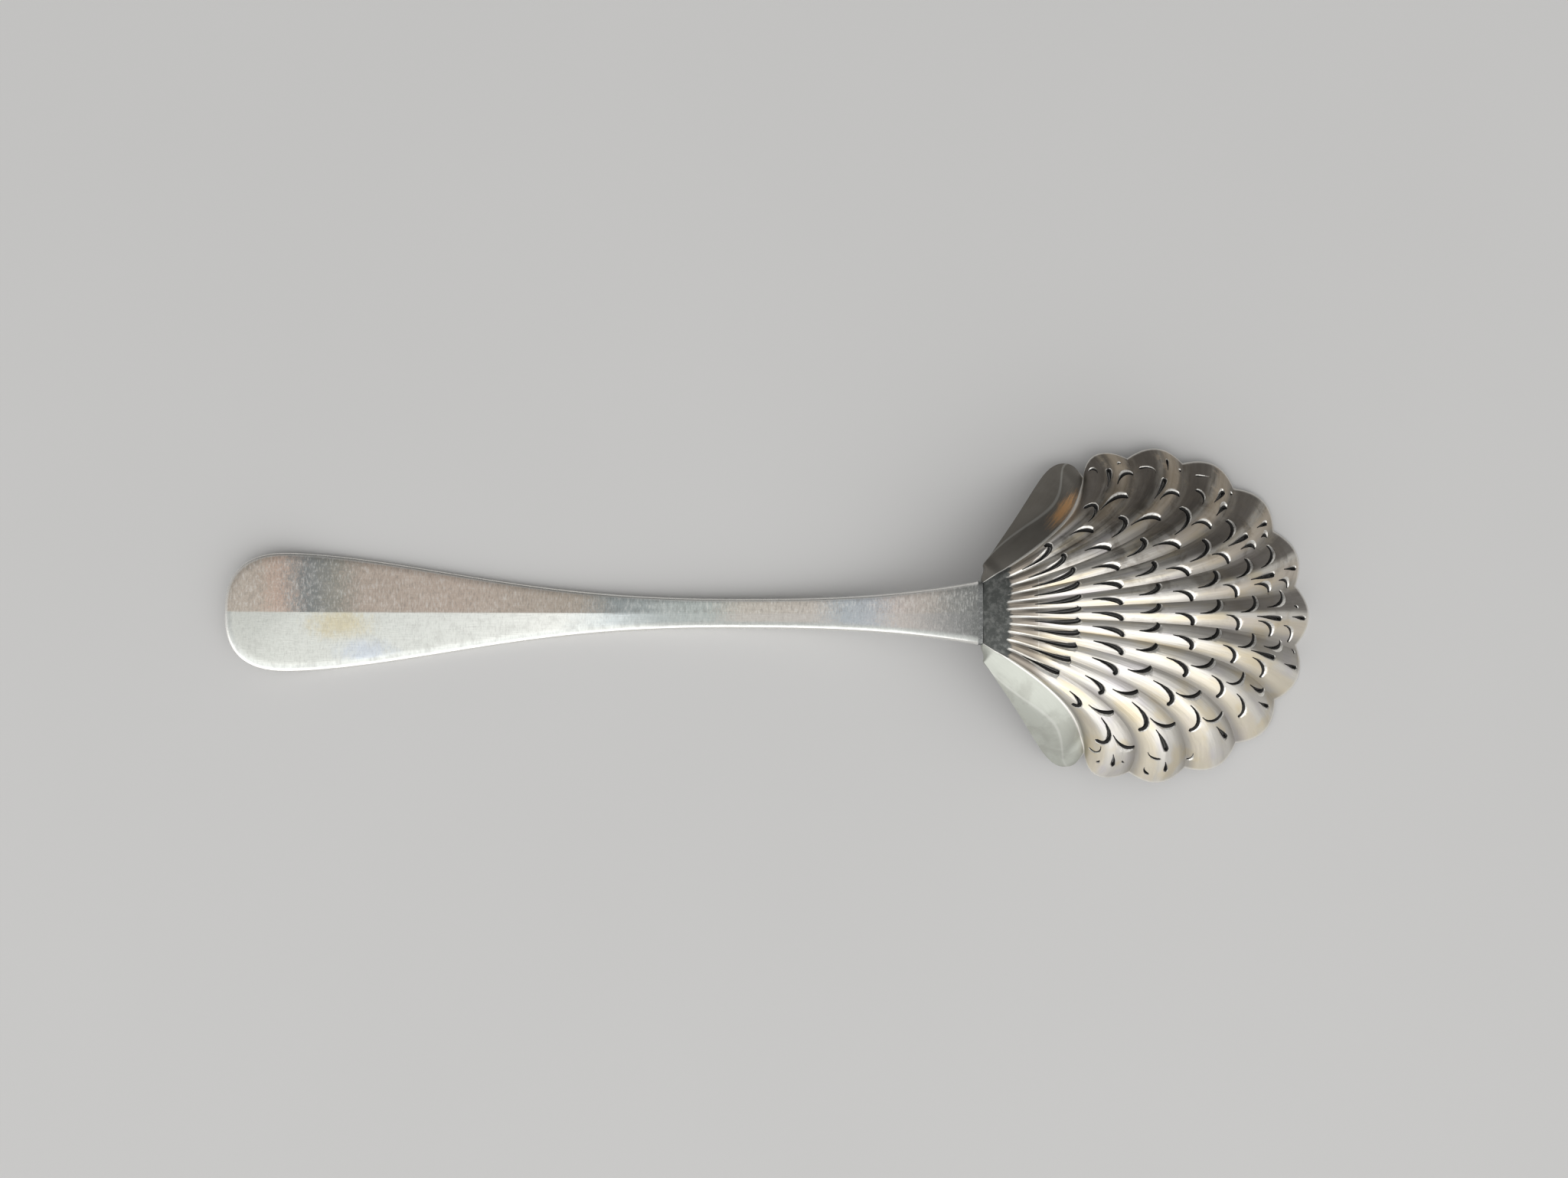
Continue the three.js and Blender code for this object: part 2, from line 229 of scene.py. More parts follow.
def handleSection(distance, y, grow=0):
    # heights of back and underside above the line of the underside
    half = max(handleHalfWidth(distance), 1e-5)
    toWaist = ease(handle["tipToRest"] + handle["restLength"] / 2, waistAt, distance)
    toNeck = ease(waistAt, handle["length"], distance)
    edge = mix(mix(handle["headEdge"], handle["waistEdge"], toWaist), handle["neckEdge"], toNeck)
    crown = mix(mix(handle["headCrown"], handle["waistCrown"], toWaist), handle["neckCrown"], toNeck)
    fromTip = ease(0, handle["headReach"], distance)
    toStem = ease(handle["ridgeLength"] - handle["headReach"], handle["ridgeLength"], distance)
    ridge = handle["ridgeHeight"] * mix(handle["ridgeAtTip"], 1, fromTip) * (1 - toStem)
    inward = max(0, rimDistance(distance, y))
    share = clamp(abs(y) / half, 0, 1)
    bevelShare = clamp(inward / min(handle["bevelWidth"], half * handle["bevelMost"]), 0, 1)
    bevel = 1 - (1 - bevelShare) ** handle["bevelCurve"]
    roundShare = clamp(inward / handle["edgeRound"], 0, 1)
    arc = sqrt(1 - (1 - roundShare) ** 2)
    shoulder = mix(bevel, 1 - share ** handle["stemFlatness"], toWaist)
    onRidge = 1 - share
    if distance < handle["headReach"]:
        onRidge = min(onRidge, clamp(inward / handle["headReach"], 0, 1))
    rounded = edge * handle["edgeRoundShare"] * (1 - arc)
    top = edge - rounded + crown * shoulder + ridge * onRidge
    return top + grow, rounded - grow


def tipHeight(distance):
    return handle["tipRise"] * max(0, 1 - distance / handle["tipToRest"]) ** 2


def shaftStations():
    # distance from the tip and height of the underside, from the widest section to the joint
    tipCells, restCells, stemCells = handle["tipCells"], handle["restCells"], handle["stemCells"]
    stations = []
    for i in range(tipCells + 1):
        distance = mix(handle["headReach"], handle["tipToRest"], i / tipCells)
        stations.append((distance, tipHeight(distance)))
    restEnd = handle["tipToRest"] + handle["restLength"]
    stations += [(mix(handle["tipToRest"], restEnd, i / restCells), 0) for i in range(1, restCells + 1)]
    bendAt = handle["length"] - handle["stemBendToJoint"]
    sweepAt = handle["length"] - handle["stemSweep"]
    sweepHeight = jointBottom - handle["stemSweep"] * tan(radians(handle["neckSlope"]))
    for i in range(1, stemCells + 1):
        stations.append((
            bezier([restEnd, bendAt, sweepAt, handle["length"]], i / stemCells),
            bezier([0, 0, sweepHeight, jointBottom], i / stemCells),
        ))
    return stations


def makeHandle():
    stations = shaftStations()
    headCells = handle["headCells"]
    cellsAlong = headCells + len(stations) - 1

    def spotOf(along, across):
        row = round(along * cellsAlong)
        outward = crowdedAcross(across)
        if row < headCells:
            spot = headPlace((row / headCells) ** 2, outward)
            return spot.x, spot.y, tipHeight(spot.x)
        distance, base = stations[row - headCells]
        return distance, handleHalfWidth(distance) * outward, base

    def place(along, across):
        distance, y, base = spotOf(along, across)
        top, bottom = handleSection(distance, y)
        x = handle["tipX"] + distance - (jointFace if along == 1 else 0)
        return Vector((x, y, base + top)), Vector((x, y, base + bottom))

    def uvOf(along, across):
        distance, y, base = spotOf(along, across)
        return max(0, rimDistance(distance, y)) * handle["rimMapScale"], along

    piece = sheetPiece("handleForging", cellsAlong, handle["cellsAcross"], place, uvOf)
    ridgeEnd = handle["tipX"] + handle["ridgeLength"] - handle["headReach"] / 2

    def onRidge(edge):
        ends = [vert.co for vert in edge.verts]
        return all(
            abs(co.y) < 1e-6 and co.z > handle["ridgeSharpAbove"] and co.x < ridgeEnd for co in ends
        )

    shadeByAngle(piece, handle["smoothBelow"], onRidge)
    return piece


# solder seam

solder = {"proud": 0.00004, "lap": 0.00012, "smoothBelow": 50, "cellsAlong": 8, "cellsAcross": 28}


def makeSeam():
    def place(along, across):
        outward = crowdedAcross(across)
        grow = solder["proud"] * sqrt(sin(pi * along))
        half = handle["neckWidth"] / 2
        top, bottom = handleSection(handle["length"], half * outward, grow)
        x = jointX + (along - 0.5) * (handle["seamWidth"] + 2 * solder["lap"])
        y = (half + grow) * outward
        return Vector((x, y, jointBottom + top)), Vector((x, y, jointBottom + bottom))

    piece = sheetPiece("solderBead", solder["cellsAlong"], solder["cellsAcross"], place)
    shadeByAngle(piece, solder["smoothBelow"])
    return piece


# bowl

bowl = {
    "length": 0.0645,
    "rimRadius": 0.0316,
    "rimSpread": 0.0004,
    "rimTilt": 6.2,
    "creaseNotch": 0.002,
    "wall": 0.001,
    "lobeCount": 11,
    "rimTurn": 22,
    "rimTurnEase": -0.024,
    "heelTurn": 3.76,
    "heelTurnEase": 0.073,
    "edgeTurn": 24,
    "creaseTurnBack": 50,
    "heelPull": 0.72,
    "rimPull": 0.2,
    "archHeights": [0.0167, 0.0065, 0.0086, 0.0057],
    "heelPatch": 0.0055,
    "grooveAtHeel": 0.0003,
    "grooveAtRim": 0.0015,
    "grooveFullAt": 0.8,
    "heelFaceEnd": 0.05,
    "thickHeelEnd": 0.08,
    "rimLevelStart": 0.8,
    "seamShoulder": 0.0003,
    "earLip": 0.0008,
    "earReach": 0.0076,
    "earFullness": 0.5,
    "earLean": 1.25,
    "earTurn": 18,
    "earDrop": 0.6,
    "earCrown": 0.0005,
    "earFacet": 0.55,
    "earFacetTilt": 0.3,
    "facetStart": 0.08,
    "facetLength": 0.84,
    "earWallPlumbTo": 0.06,  # close to the heel an ear's wall goes straight down
    "earWallSquareFrom": 0.25,
    "earWallEase": 4,
    "smoothBelow": 38,
    "cellsPerLobe": 12,
    "cellsPerEar": 12,
    "cellsAlong": 84,
    "heelCrowding": 0.8,
    "heelCrowdingCurve": 1.6,
}
fanEdge = bowl["lobeCount"] / 2
mapEdge = fanEdge + 1  # the fan map takes in an ear on each side
frontX = jointX + bowl["length"]
rimCentreX = frontX - bowl["rimRadius"]
heelHalfWidth = handle["neckWidth"] / 2 - bowl["seamShoulder"]


def fanPoint(lobe, along):
    # smooth back before the grooves: lobe counts across the fan, along runs from heel to rim
    share = lobe / fanEdge
    sign = 1 if lobe > 0 else -1
    pastLobes = max(0, (abs(lobe) - fanEdge + 0.5) / 0.5)
    rimAngle = radians(bowl["rimTurn"] * lobe + bowl["rimTurnEase"] * lobe ** 3)
    radius = (
        bowl["rimRadius"] + bowl["rimSpread"] * abs(share) ** 3
        - bowl["creaseNotch"] * pastLobes ** 2
    )
    startX = jointX + jointFace
    startY = heelHalfWidth * share
    endX = rimCentreX + radius * cos(rimAngle)
    endY = radius * sin(rimAngle)
    chord = hypot(endX - startX, endY - startY)
    startAngle = radians(bowl["heelTurn"] * lobe + bowl["heelTurnEase"] * lobe ** 3)
    endAngle = radians(
        bowl["edgeTurn"] * lobe - sign * bowl["creaseTurnBack"] * pastLobes ** 2
    )
    outPull = bowl["heelPull"] * chord
    backPull = bowl["rimPull"] * chord
    x = bezier([
        startX, startX + outPull * cos(startAngle), endX - backPull * cos(endAngle), endX,
    ], along)
    y = bezier([
        startY, startY + outPull * sin(startAngle), endY - backPull * sin(endAngle), endY,
    ], along)
    startZ = handle["jointHeight"] - handle["neckCrown"] * share ** 2
    endZ = (frontX - endX) * tan(radians(bowl["rimTilt"]))
    arch = [0, *[height * chord / bowl["length"] for height in bowl["archHeights"]], 0]
    return Vector((x, y, mix(startZ, endZ, along) + bezier(arch, along)))


def surfaceNormal(surface, across, along):
    step = 1e-3
    before = max(0, along - step)
    after = min(1, along + step)
    alongTangent = surface(across, after) - surface(across, before)
    acrossTangent = surface(across + step, along) - surface(across - step, along)
    return alongTangent.cross(acrossTangent).normalized()


def grooveDepth(lobe, along):
    patchShare = bowl["heelPatch"] / bowl["length"] / (3 * bowl["heelPull"])
    begun = ease(patchShare, 2 * patchShare, along)
    full = min(1, along / bowl["grooveFullAt"])
    depth = mix(bowl["grooveAtHeel"], bowl["grooveAtRim"], full)
    return begun * depth * (1 - abs(cos(pi * lobe)))


def wallDirection(normal, along):
    # the wall goes in level at the rim, and straight down at the face of the joint
    level = ease(bowl["rimLevelStart"], 1, along)
    upright = 1 - ease(0, bowl["heelFaceEnd"], along)
    flat = Vector((normal.x, normal.y, 0))
    flat /= max(flat.length_squared, 1e-9)
    plumb = Vector((0, normal.y, normal.z))
    plumb /= max(plumb.length_squared, 1e-9)
    return normal.lerp(flat, level).lerp(plumb, upright)


def lobedPoint(lobe, along):
    normal = surfaceNormal(fanPoint, lobe, along)
    return fanPoint(lobe, along) - wallDirection(normal, along) * grooveDepth(lobe, along)


creaseCache = {}


def creasePoint(sign, along):
    key = (sign, round(along, 7))
    if key not in creaseCache:
        creaseCache[key] = lobedPoint(sign * fanEdge, along)
    return creaseCache[key]


def earPoint(sign, out, along):
    heelEnd = creasePoint(sign, 0)
    rimEnd = creasePoint(sign, 1)
    creaseAngle = atan2(rimEnd.y - heelEnd.y, rimEnd.x - heelEnd.x)
    quarterTurn = sign * pi / 2
    squareOut = mix(quarterTurn, creaseAngle + quarterTurn, ease(0, bowl["heelFaceEnd"], along))
    outAngle = squareOut - sign * radians(bowl["earTurn"]) * along
    swell = max(0, sin(pi * along ** bowl["earLean"])) ** bowl["earFullness"]
    reach = (bowl["earLip"] + bowl["earReach"] * swell) * out
    crown = bowl["earCrown"] * sin(pi * out) * swell
    alongFacet = clamp((along - bowl["facetStart"]) / bowl["facetLength"], 0, 1)
    facetAt = 1 - bowl["earFacet"] * max(0, sin(pi * alongFacet))
    facet = bowl["earFacetTilt"] * max(0, out - facetAt) * bowl["earReach"] * swell
    crease = creasePoint(sign, along)
    return Vector((
        crease.x + reach * cos(outAngle),
        crease.y + reach * sin(outAngle),
        crease.z - reach * bowl["earDrop"] + crown - facet,
    ))


def shellPoint(across, along):
    sign = 1 if across > 0 else -1
    past = abs(across) - fanEdge
    if past < 0:
        return lobedPoint(across, along), surfaceNormal(fanPoint, across, along)

    def ear(out, place):
        return earPoint(sign, sign * out, place)

    normal = surfaceNormal(ear, sign * past, along)
    if past < 1e-9:
        normal = (normal + surfaceNormal(fanPoint, sign * fanEdge, along)).normalized()
    return earPoint(sign, past, along), normal


def makeShell():
    lobeCells = bowl["lobeCount"] * bowl["cellsPerLobe"]
    earCells = bowl["cellsPerEar"]
    cellsAcross = lobeCells + 2 * earCells

    def acrossOf(share):
        column = round(share * cellsAcross)
        if column < earCells:
            return -fanEdge - 1 + column / earCells
        if column > earCells + lobeCells:
            return fanEdge + (column - earCells - lobeCells) / earCells
        return -fanEdge + (column - earCells) / bowl["cellsPerLobe"]

    def alongOf(share):
        return mix(share, share ** bowl["heelCrowdingCurve"], bowl["heelCrowding"])

    def place(along, across):
        spot = alongOf(along)
        point, normal = shellPoint(acrossOf(across), spot)
        thickness = mix(neckThickness, bowl["wall"], ease(0, bowl["thickHeelEnd"], spot))
        inward = wallDirection(normal, spot)
        outOnEar = clamp((abs(acrossOf(across)) - fanEdge) * bowl["earWallEase"], 0, 1)
        plumb = outOnEar * ease(bowl["earWallSquareFrom"], bowl["earWallPlumbTo"], spot)
        inward = inward.lerp(Vector((0, 0, 1)), plumb)
        return point, point - inward * thickness

    def uvOf(along, across):
        return (acrossOf(across) + mapEdge) / (2 * mapEdge), alongOf(along)

    return sheetPiece("bowlShell", bowl["cellsAlong"], cellsAcross, place, uvOf, undersideSlot=1)


# piercing

piercing = {
    "slotWidth": 0.00098,
    "tailShare": 0.1,
    "widestAt": 0.82,
    "chamfer": 0.00012,
    "chamferDepth": 0.00013,
    "narrowDepth": 0.0005,
    "narrowShare": 0.3,
    "leastHalfWidth": 0.00005,
    "reach": 0.0006,
    "bluntHead": 0.25,
    "chamferAtTail": 0.25,
    "pathSteps": 9,
    "commaCurve": 1.35,
    "commaWidth": 1.0,
    "crestCurve": 1.6,
    "crestLean": (0.75, 1.25),  # share of a crest slot's offset at its tail and at its head
    # rings of commas from the heel outwards: place and rise of tails and of heads, first and last
    # lobe, shift of the tails, and drift of tails and heads towards the middle
    "rings": [
        {"tail": (0.069, 0.04), "head": (0.136, 0.1), "lobes": (-5, 5), "shift": 0, "drift": (0.08, 0.04)},
        {"tail": (0.155, 0.165), "head": (0.21, 0.2), "lobes": (-5, 5), "shift": 0, "drift": (0.02, 0.04)},
        {"tail": (0.245, 0.17), "head": (0.29, 0.25), "lobes": (-5, 5), "shift": 0, "drift": (0.03, 0.04)},
        {"tail": (0.325, 0.18), "head": (0.38, 0.34), "lobes": (-5, 5), "shift": 0, "drift": (0.03, 0.05)},
        {"tail": (0.395, 0.26), "head": (0.47, 0.4), "lobes": (-5, 3), "shift": 0, "drift": (0.03, 0.04)},
        {"tail": (0.485, 0.25), "head": (0.55, 0.4), "lobes": (-3, 5), "shift": 0.04, "drift": (0.03, 0.05)},
        {"tail": (0.545, 0.36), "head": (0.64, 0.45), "lobes": (-3, 2), "shift": 0.05, "drift": (0, 0.05)},
        {"tail": (0.635, 0.3), "head": (0.75, 0.33), "lobes": (-2, 3), "shift": 0.17, "drift": (0.07, 0.09)},
        {"tail": (0.69, 0.4), "head": (0.845, 0.2), "lobes": (-2, 1), "shift": 0.17, "drift": (0.08, 0.08)},
        {"tail": (0.81, 0.4), "head": (0.92, 0), "lobes": (0, 2), "shift": 0.21, "drift": (0.09, 0.11)},
    ],
    # straight slots near the crests: each lobe with how much nearer the middle they lie
    "innerSlots": [
        {"from": 0.625, "to": 0.785, "width": 1.0, "lobes": {-1: -0.07, 0: 0.07, 1: 0.12}},
        {"from": 0.605, "to": 0.745, "width": 1.0, "lobes": {2: 0.12}},
        {"from": 0.75, "to": 0.88, "width": 1.0, "lobes": {-3: -0.25, 3: 0.23}},
        {"from": 0.6, "to": 0.765, "width": 1.0, "lobes": {-4: -0.07, 4: 0.07}},
        {"from": 0.65, "to": 0.83, "width": 1.0, "lobes": {5: 0.01}},
        {"from": 0.76, "to": 0.88, "width": 0.8, "lobes": {-5: -0.08}},
    ],
    "outerSlots": [
        {"from": 0.863, "to": 0.975, "width": 0.8, "lobes": {-1: -0.1, 0: 0.04, 1: 0.17}},
        {"from": 0.83, "to": 0.94, "width": 0.8, "lobes": {-2: -0.24, 2: 0.23}},
        {"from": 0.84, "to": 0.92, "width": 0.8, "lobes": {-4: -0.06}},
    ],
    # short curved cuts and dots close to the rim: lobe and place along it at both ends
    "rimMarks": [
        {"from": (3.02, 0.69), "to": (3.27, 0.77), "width": 0.8},
        {"from": (3.05, 0.9), "to": (3.32, 0.885), "width": 0.5},
        {"from": (2.53, 0.925), "to": (2.5, 0.955), "width": 0.6},
        {"from": (4.1, 0.79), "to": (4.4, 0.855), "width": 0.6},
        {"from": (3.87, 0.835), "to": (3.85, 0.93), "width": 0.5},
        {"from": (3.6, 0.885), "to": (3.57, 0.915), "width": 0.6},
        {"from": (5.18, 0.83), "to": (5.3, 0.93), "width": 0.6},
        {"from": (4.78, 0.87), "to": (4.7, 0.9), "width": 0.6},
        {"from": (0.17, 0.89), "to": (0.12, 0.92), "width": 0.6},
        {"from": (-0.6, 0.94), "to": (-0.66, 0.965), "width": 0.6},
        {"from": (-3.38, 0.873), "to": (-3.49, 0.929), "width": 0.6},
        {"from": (-4.27, 0.76), "to": (-4.04, 0.815), "width": 0.6},
        {"from": (-4.31, 0.898), "to": (-4.2, 0.945), "width": 0.6},
        {"from": (-5.16, 0.72), "to": (-5.36, 0.84), "width": 0.5},
        {"from": (-5.15, 0.86), "to": (-5.19, 0.895), "width": 0.6},
        {"from": (-4.75, 0.825), "to": (-4.7, 0.855), "width": 0.5},
    ],
}


def slotHalfWidth(walked, length):
    # a thin tail that swells to a blunt round head
    half = piercing["slotWidth"] / 2
    swollen = ease(0, piercing["widestAt"] * length, walked)
    width = mix(piercing["tailShare"] * half, half, swollen)
    left = length - walked
    if left < half:
        width *= max(piercing["bluntHead"], sqrt(max(0, 1 - (1 - left / half) ** 2)))
    return width


def facesOf(verts):
    # once each, and in a steady order, which a set wouldn't keep
    return list(dict.fromkeys(face for vert in verts for face in vert.link_faces))


def signedVolume(faces):
    origin = faces[0].verts[0].co
    total = 0
    for face in faces:
        first, *others = [vert.co - origin for vert in face.verts]
        for second, third in zip(others, others[1:]):
            total += first.dot(second.cross(third)) / 6
    return total


def addCutter(bm, path, share):
    # one cutter: a strip of cells that is extruded through the wall and set along its path
    points = [lobedPoint(lobe, along) for lobe, along in path]
    normals = [surfaceNormal(fanPoint, lobe, along) for lobe, along in path]
    walked = [0]
    for before, after in zip(points, points[1:]):
        walked.append(walked[-1] + (after - before).length)
    depth = piercing["chamferDepth"]
    slope = piercing["chamfer"] / depth
    reach = piercing["reach"]
    levels = [  # height above the surface, width of the chamfer, share of the slot's own width
        (reach, piercing["chamfer"] + reach * slope, 1),
        (0, piercing["chamfer"], 1),
        (-depth, 0, 1),
        (-piercing["narrowDepth"], 0, piercing["narrowShare"]),
        (-bowl["wall"] - reach, 0, piercing["narrowShare"]),
    ]
    cells = len(path) - 1
    made = bmesh.ops.create_grid(bm, x_segments=cells, y_segments=1, size=0.5)
    layers = [made["verts"]]
    faces = facesOf(made["verts"])
    while len(layers) < len(levels):
        grown = bmesh.ops.extrude_face_region(bm, geom=faces)["geom"]
        if len(layers) > 1:
            bmesh.ops.delete(bm, geom=faces, context="FACES_ONLY")
        layers.append([part for part in grown if isinstance(part, bmesh.types.BMVert)])
        faces = [part for part in grown if isinstance(part, bmesh.types.BMFace)]
    depths = {}
    for (lift, wider, narrower), layer in zip(levels, layers):
        for vert in layer:
            depths[vert] = -lift * 1000  # in millimetres, for the sawn finish
            step = round((vert.co.x + 0.5) * cells)
            before = points[max(0, step - 1)]
            after = points[min(cells, step + 1)]
            sideways = (after - before).cross(normals[step]).normalized()
            half = slotHalfWidth(walked[step], walked[-1]) * share
            rounding = wider * min(1, piercing["chamferAtTail"] + half / piercing["slotWidth"] * 2)
            half = max(half * narrower, piercing["leastHalfWidth"]) + rounding
            sign = 1 if vert.co.y > 0 else -1
            vert.co = points[step] + sideways * half * sign + normals[step] * lift
    skin = facesOf(depths)
    bmesh.ops.recalc_face_normals(bm, faces=skin)
    if signedVolume(skin) < 0:  # now and then the whole skin points inwards
        bmesh.ops.reverse_faces(bm, faces=skin)
    return depths


def curvedPath(tail, head):
    # leaves the tail along its lobe and turns to reach the head across it
    path = []
    for i in range(piercing["pathSteps"] + 1):
        turn = pi / 2 * (1 - (1 - i / piercing["pathSteps"]) ** piercing["commaCurve"])
        path.append((mix(tail[0], head[0], 1 - cos(turn)), mix(tail[1], head[1], sin(turn))))
    return path


def commaPaths(ring, side):
    # side is the flank of each lobe that the heads turn to
    paths = []
    for lobe in range(ring["lobes"][0], ring["lobes"][1] + 1):
        tailLobe = lobe + side * ring["shift"] - lobe * ring["drift"][0]
        headLobe = lobe + clamp(side / 2 - lobe * ring["drift"][1], -0.5, 0.5)  # to the groove at most
        tail = ring["tail"][0] + ring["tail"][1] * (tailLobe / fanEdge) ** 2
        head = ring["head"][0] + ring["head"][1] * (headLobe / fanEdge) ** 2
        paths.append((curvedPath((tailLobe, tail), (headLobe, head)), piercing["commaWidth"]))
    return paths


def crestPaths(slot):
    paths = []
    for lobe, nearer in slot["lobes"].items():
        path = []
        for i in range(piercing["pathSteps"] + 1):
            share = 1 - (1 - i / piercing["pathSteps"]) ** piercing["crestCurve"]
            lean = mix(*piercing["crestLean"], share)
            path.append((lobe - nearer * lean, mix(slot["from"], slot["to"], share)))
        paths.append((path, slot["width"]))
    return paths


def makeCutters():
    # one object for each ring, whose heads turn to the other side than those of the ring before
    groups = [
        commaPaths(ring, -1 if number % 2 else 1) for number, ring in enumerate(piercing["rings"])
    ]
    for kind in ("innerSlots", "outerSlots"):
        groups.append([cut for slot in piercing[kind] for cut in crestPaths(slot)])
    groups.append([
        (curvedPath(mark["from"], mark["to"]), mark["width"]) for mark in piercing["rimMarks"]
    ])
    cutters = []
    for number, paths in enumerate(groups):
        bm = bmesh.new()
        depths = {}
        for path, share in paths:
            depths.update(addCutter(bm, path, share))
        uvLayer = bm.loops.layers.uv.new("fan")
        for face in bm.faces:
            for loop in face.loops:
                loop[uvLayer].uv = (0, depths[loop.vert])
        cutters.append(pieceFrom(bm, f"slotCutters{number}"))
    return cutters


def pierce(shell, cutters, sawnSilver):
    for cutter in cutters:
        cutter.data.materials.append(sawnSilver)
        saw = shell.modifiers.new("saw", "BOOLEAN")
        saw.operation = "DIFFERENCE"
        saw.solver = "MANIFOLD"
        saw.material_mode = "TRANSFER"
        saw.object = cutter
    bpy.context.view_layer.update()
    evaluated = shell.evaluated_get(bpy.context.evaluated_depsgraph_get())
    pierced = bpy.data.meshes.new_from_object(evaluated)
    shell.modifiers.clear()
    shell.data = pierced
    bm = bmesh.new()
    bm.from_mesh(pierced)
    # points halfway along an edge, and faces with many corners, can fold when they are triangulated
    between = [vert for vert in bm.verts if len(vert.link_edges) == 2]
    bmesh.ops.dissolve_verts(bm, verts=between)
    bmesh.ops.triangulate(bm, faces=[face for face in bm.faces if len(face.verts) > 4])
    bm.to_mesh(pierced)
    bm.free()
    for cutter in cutters:
        bpy.data.objects.remove(cutter)


# finishes: helpers that add their node to the tree of the socket that they start from

def link(value, socket):
    if isinstance(value, bpy.types.NodeSocket):
        socket.id_data.links.new(value, socket)
    else:
        socket.default_value = value


def plug(node, inputs):
    for name, value in inputs.items():
        link(value, node.inputs[name])


def addNode(start, kind, inputs, **settings):
    node = start.id_data.nodes.new("ShaderNode" + kind)
    for name, value in settings.items():
        setattr(node, name, value)
    plug(node, inputs)
    return node


def calc(operation, *values):
    start = [value for value in values if isinstance(value, bpy.types.NodeSocket)][0]
    return addNode(start, "Math", dict(enumerate(values)), operation=operation).outputs[0]


def plus(first, second):
    return calc("ADD", first, second)


def minus(first, second):
    return calc("SUBTRACT", first, second)


def times(first, second):
    return calc("MULTIPLY", first, second)


def swing(value, reach):
    # noise, which lies about a half, becomes a shift to both sides of zero
    return calc("MULTIPLY_ADD", value, reach, -reach / 2)


def fade(value, low, high, toLow=0.0, toHigh=1.0, curve="SMOOTHSTEP"):
    limits = {"Value": value, "From Min": low, "From Max": high, "To Min": toLow, "To Max": toHigh}
    return addNode(value, "MapRange", limits, interpolation_type=curve).outputs["Result"]


def noise(vector, scale, detail=3.0, roughness=0.55, distortion=0.0):
    look = {"Scale": scale, "Detail": detail, "Roughness": roughness, "Distortion": distortion}
    return addNode(vector, "TexNoise", {"Vector": vector, **look}).outputs["Fac"]


def mapped(vector, place, turn, scale, kind="POINT"):
    move = {"Location": place, "Rotation": (0, 0, radians(turn)), "Scale": scale}
    return addNode(vector, "Mapping", {"Vector": vector, **move}, vector_type=kind).outputs["Vector"]


def drawnNoise(vector, stretch, detail, roughness, place=(0, 0, 0), turn=0, scale=1.0):
    # noise that is drawn out: stretch is its cells a metre, or across the map, in each direction
    return noise(mapped(vector, place, turn, stretch), scale, detail, roughness)


def smudge(vector, ragged, place, size, turn=0):
    # one soft oval stain with a ragged edge, as a mask
    inOval = mapped(vector, place, turn, size, "TEXTURE")
    reach = addNode(vector, "VectorMath", {0: inOval}, operation="LENGTH").outputs["Value"]
    return fade(plus(reach, swing(ragged, 1.6)), 1.0, 0.15)


def tint(mask, first, second, share=1.0):
    # the second colour over the first, as far as the mask and its share let it
    if share < 1:
        mask = times(mask, share)
    colours = {"Factor": mask, "A": first, "B": second}
    return addNode(mask, "Mix", colours, data_type="RGBA").outputs["Result"]


def ramp(value, stops):
    node = addNode(value, "ValToRGB", {"Fac": value})
    elements = node.color_ramp.elements
    while len(elements) < len(stops):
        elements.new(0.5)
    for element, (place, colour) in zip(elements, stops):
        element.position = place
        element.color = (*colour, 1)
    return node.outputs["Color"]


def parted(vector):
    return addNode(vector, "SeparateXYZ", {"Vector": vector}).outputs


def fanMap(start):
    return addNode(start, "UVMap", {}, uv_map="fan").outputs["UV"]


def bump(shader, height, strength, distance):
    node = addNode(shader, "Bump", {"Height": height, "Strength": strength, "Distance": distance})
    link(node.outputs["Normal"], shader.inputs["Normal"])


def newMaterial(name, finish):
    material = bpy.data.materials.new(name)
    material.use_nodes = True
    nodes = material.node_tree.nodes
    shader = nodes["Principled BSDF"]
    link(finish["metallic"], shader.inputs["Metallic"])
    return material, shader, nodes.new("ShaderNodeTexCoord").outputs["Object"]


def newGroup(name, inputs, outputs):
    # an input without a value is a vector, and every other socket a number
    group = bpy.data.node_groups.new(name, "ShaderNodeTree")
    for socketName, value in inputs.items():
        kind = "NodeSocketVector" if value is None else "NodeSocketFloat"
        socket = group.interface.new_socket(socketName, in_out="INPUT", socket_type=kind)
        if value is not None:
            socket.default_value = value
    for socketName in outputs:
        group.interface.new_socket(socketName, in_out="OUTPUT", socket_type="NodeSocketFloat")
    source = group.nodes.new("NodeGroupInput")
    sink = group.nodes.new("NodeGroupOutput")
    return group, source.outputs, sink.inputs


def useGroup(group, place, values):
    return addNode(place, "Group", {"Vector": place, **values}, node_tree=group).outputs


# effects that the finishes share

tarnish = {
    "cloudNoise": (5.0, 0.6, 0.4),
    "freckleNoise": (2.0, 0.7),
    "stainFrom": 0.62,
    "stainSpread": 0.3,
    "stainFade": 0.16,
    "freckleFade": (0.56, 0.72),
}


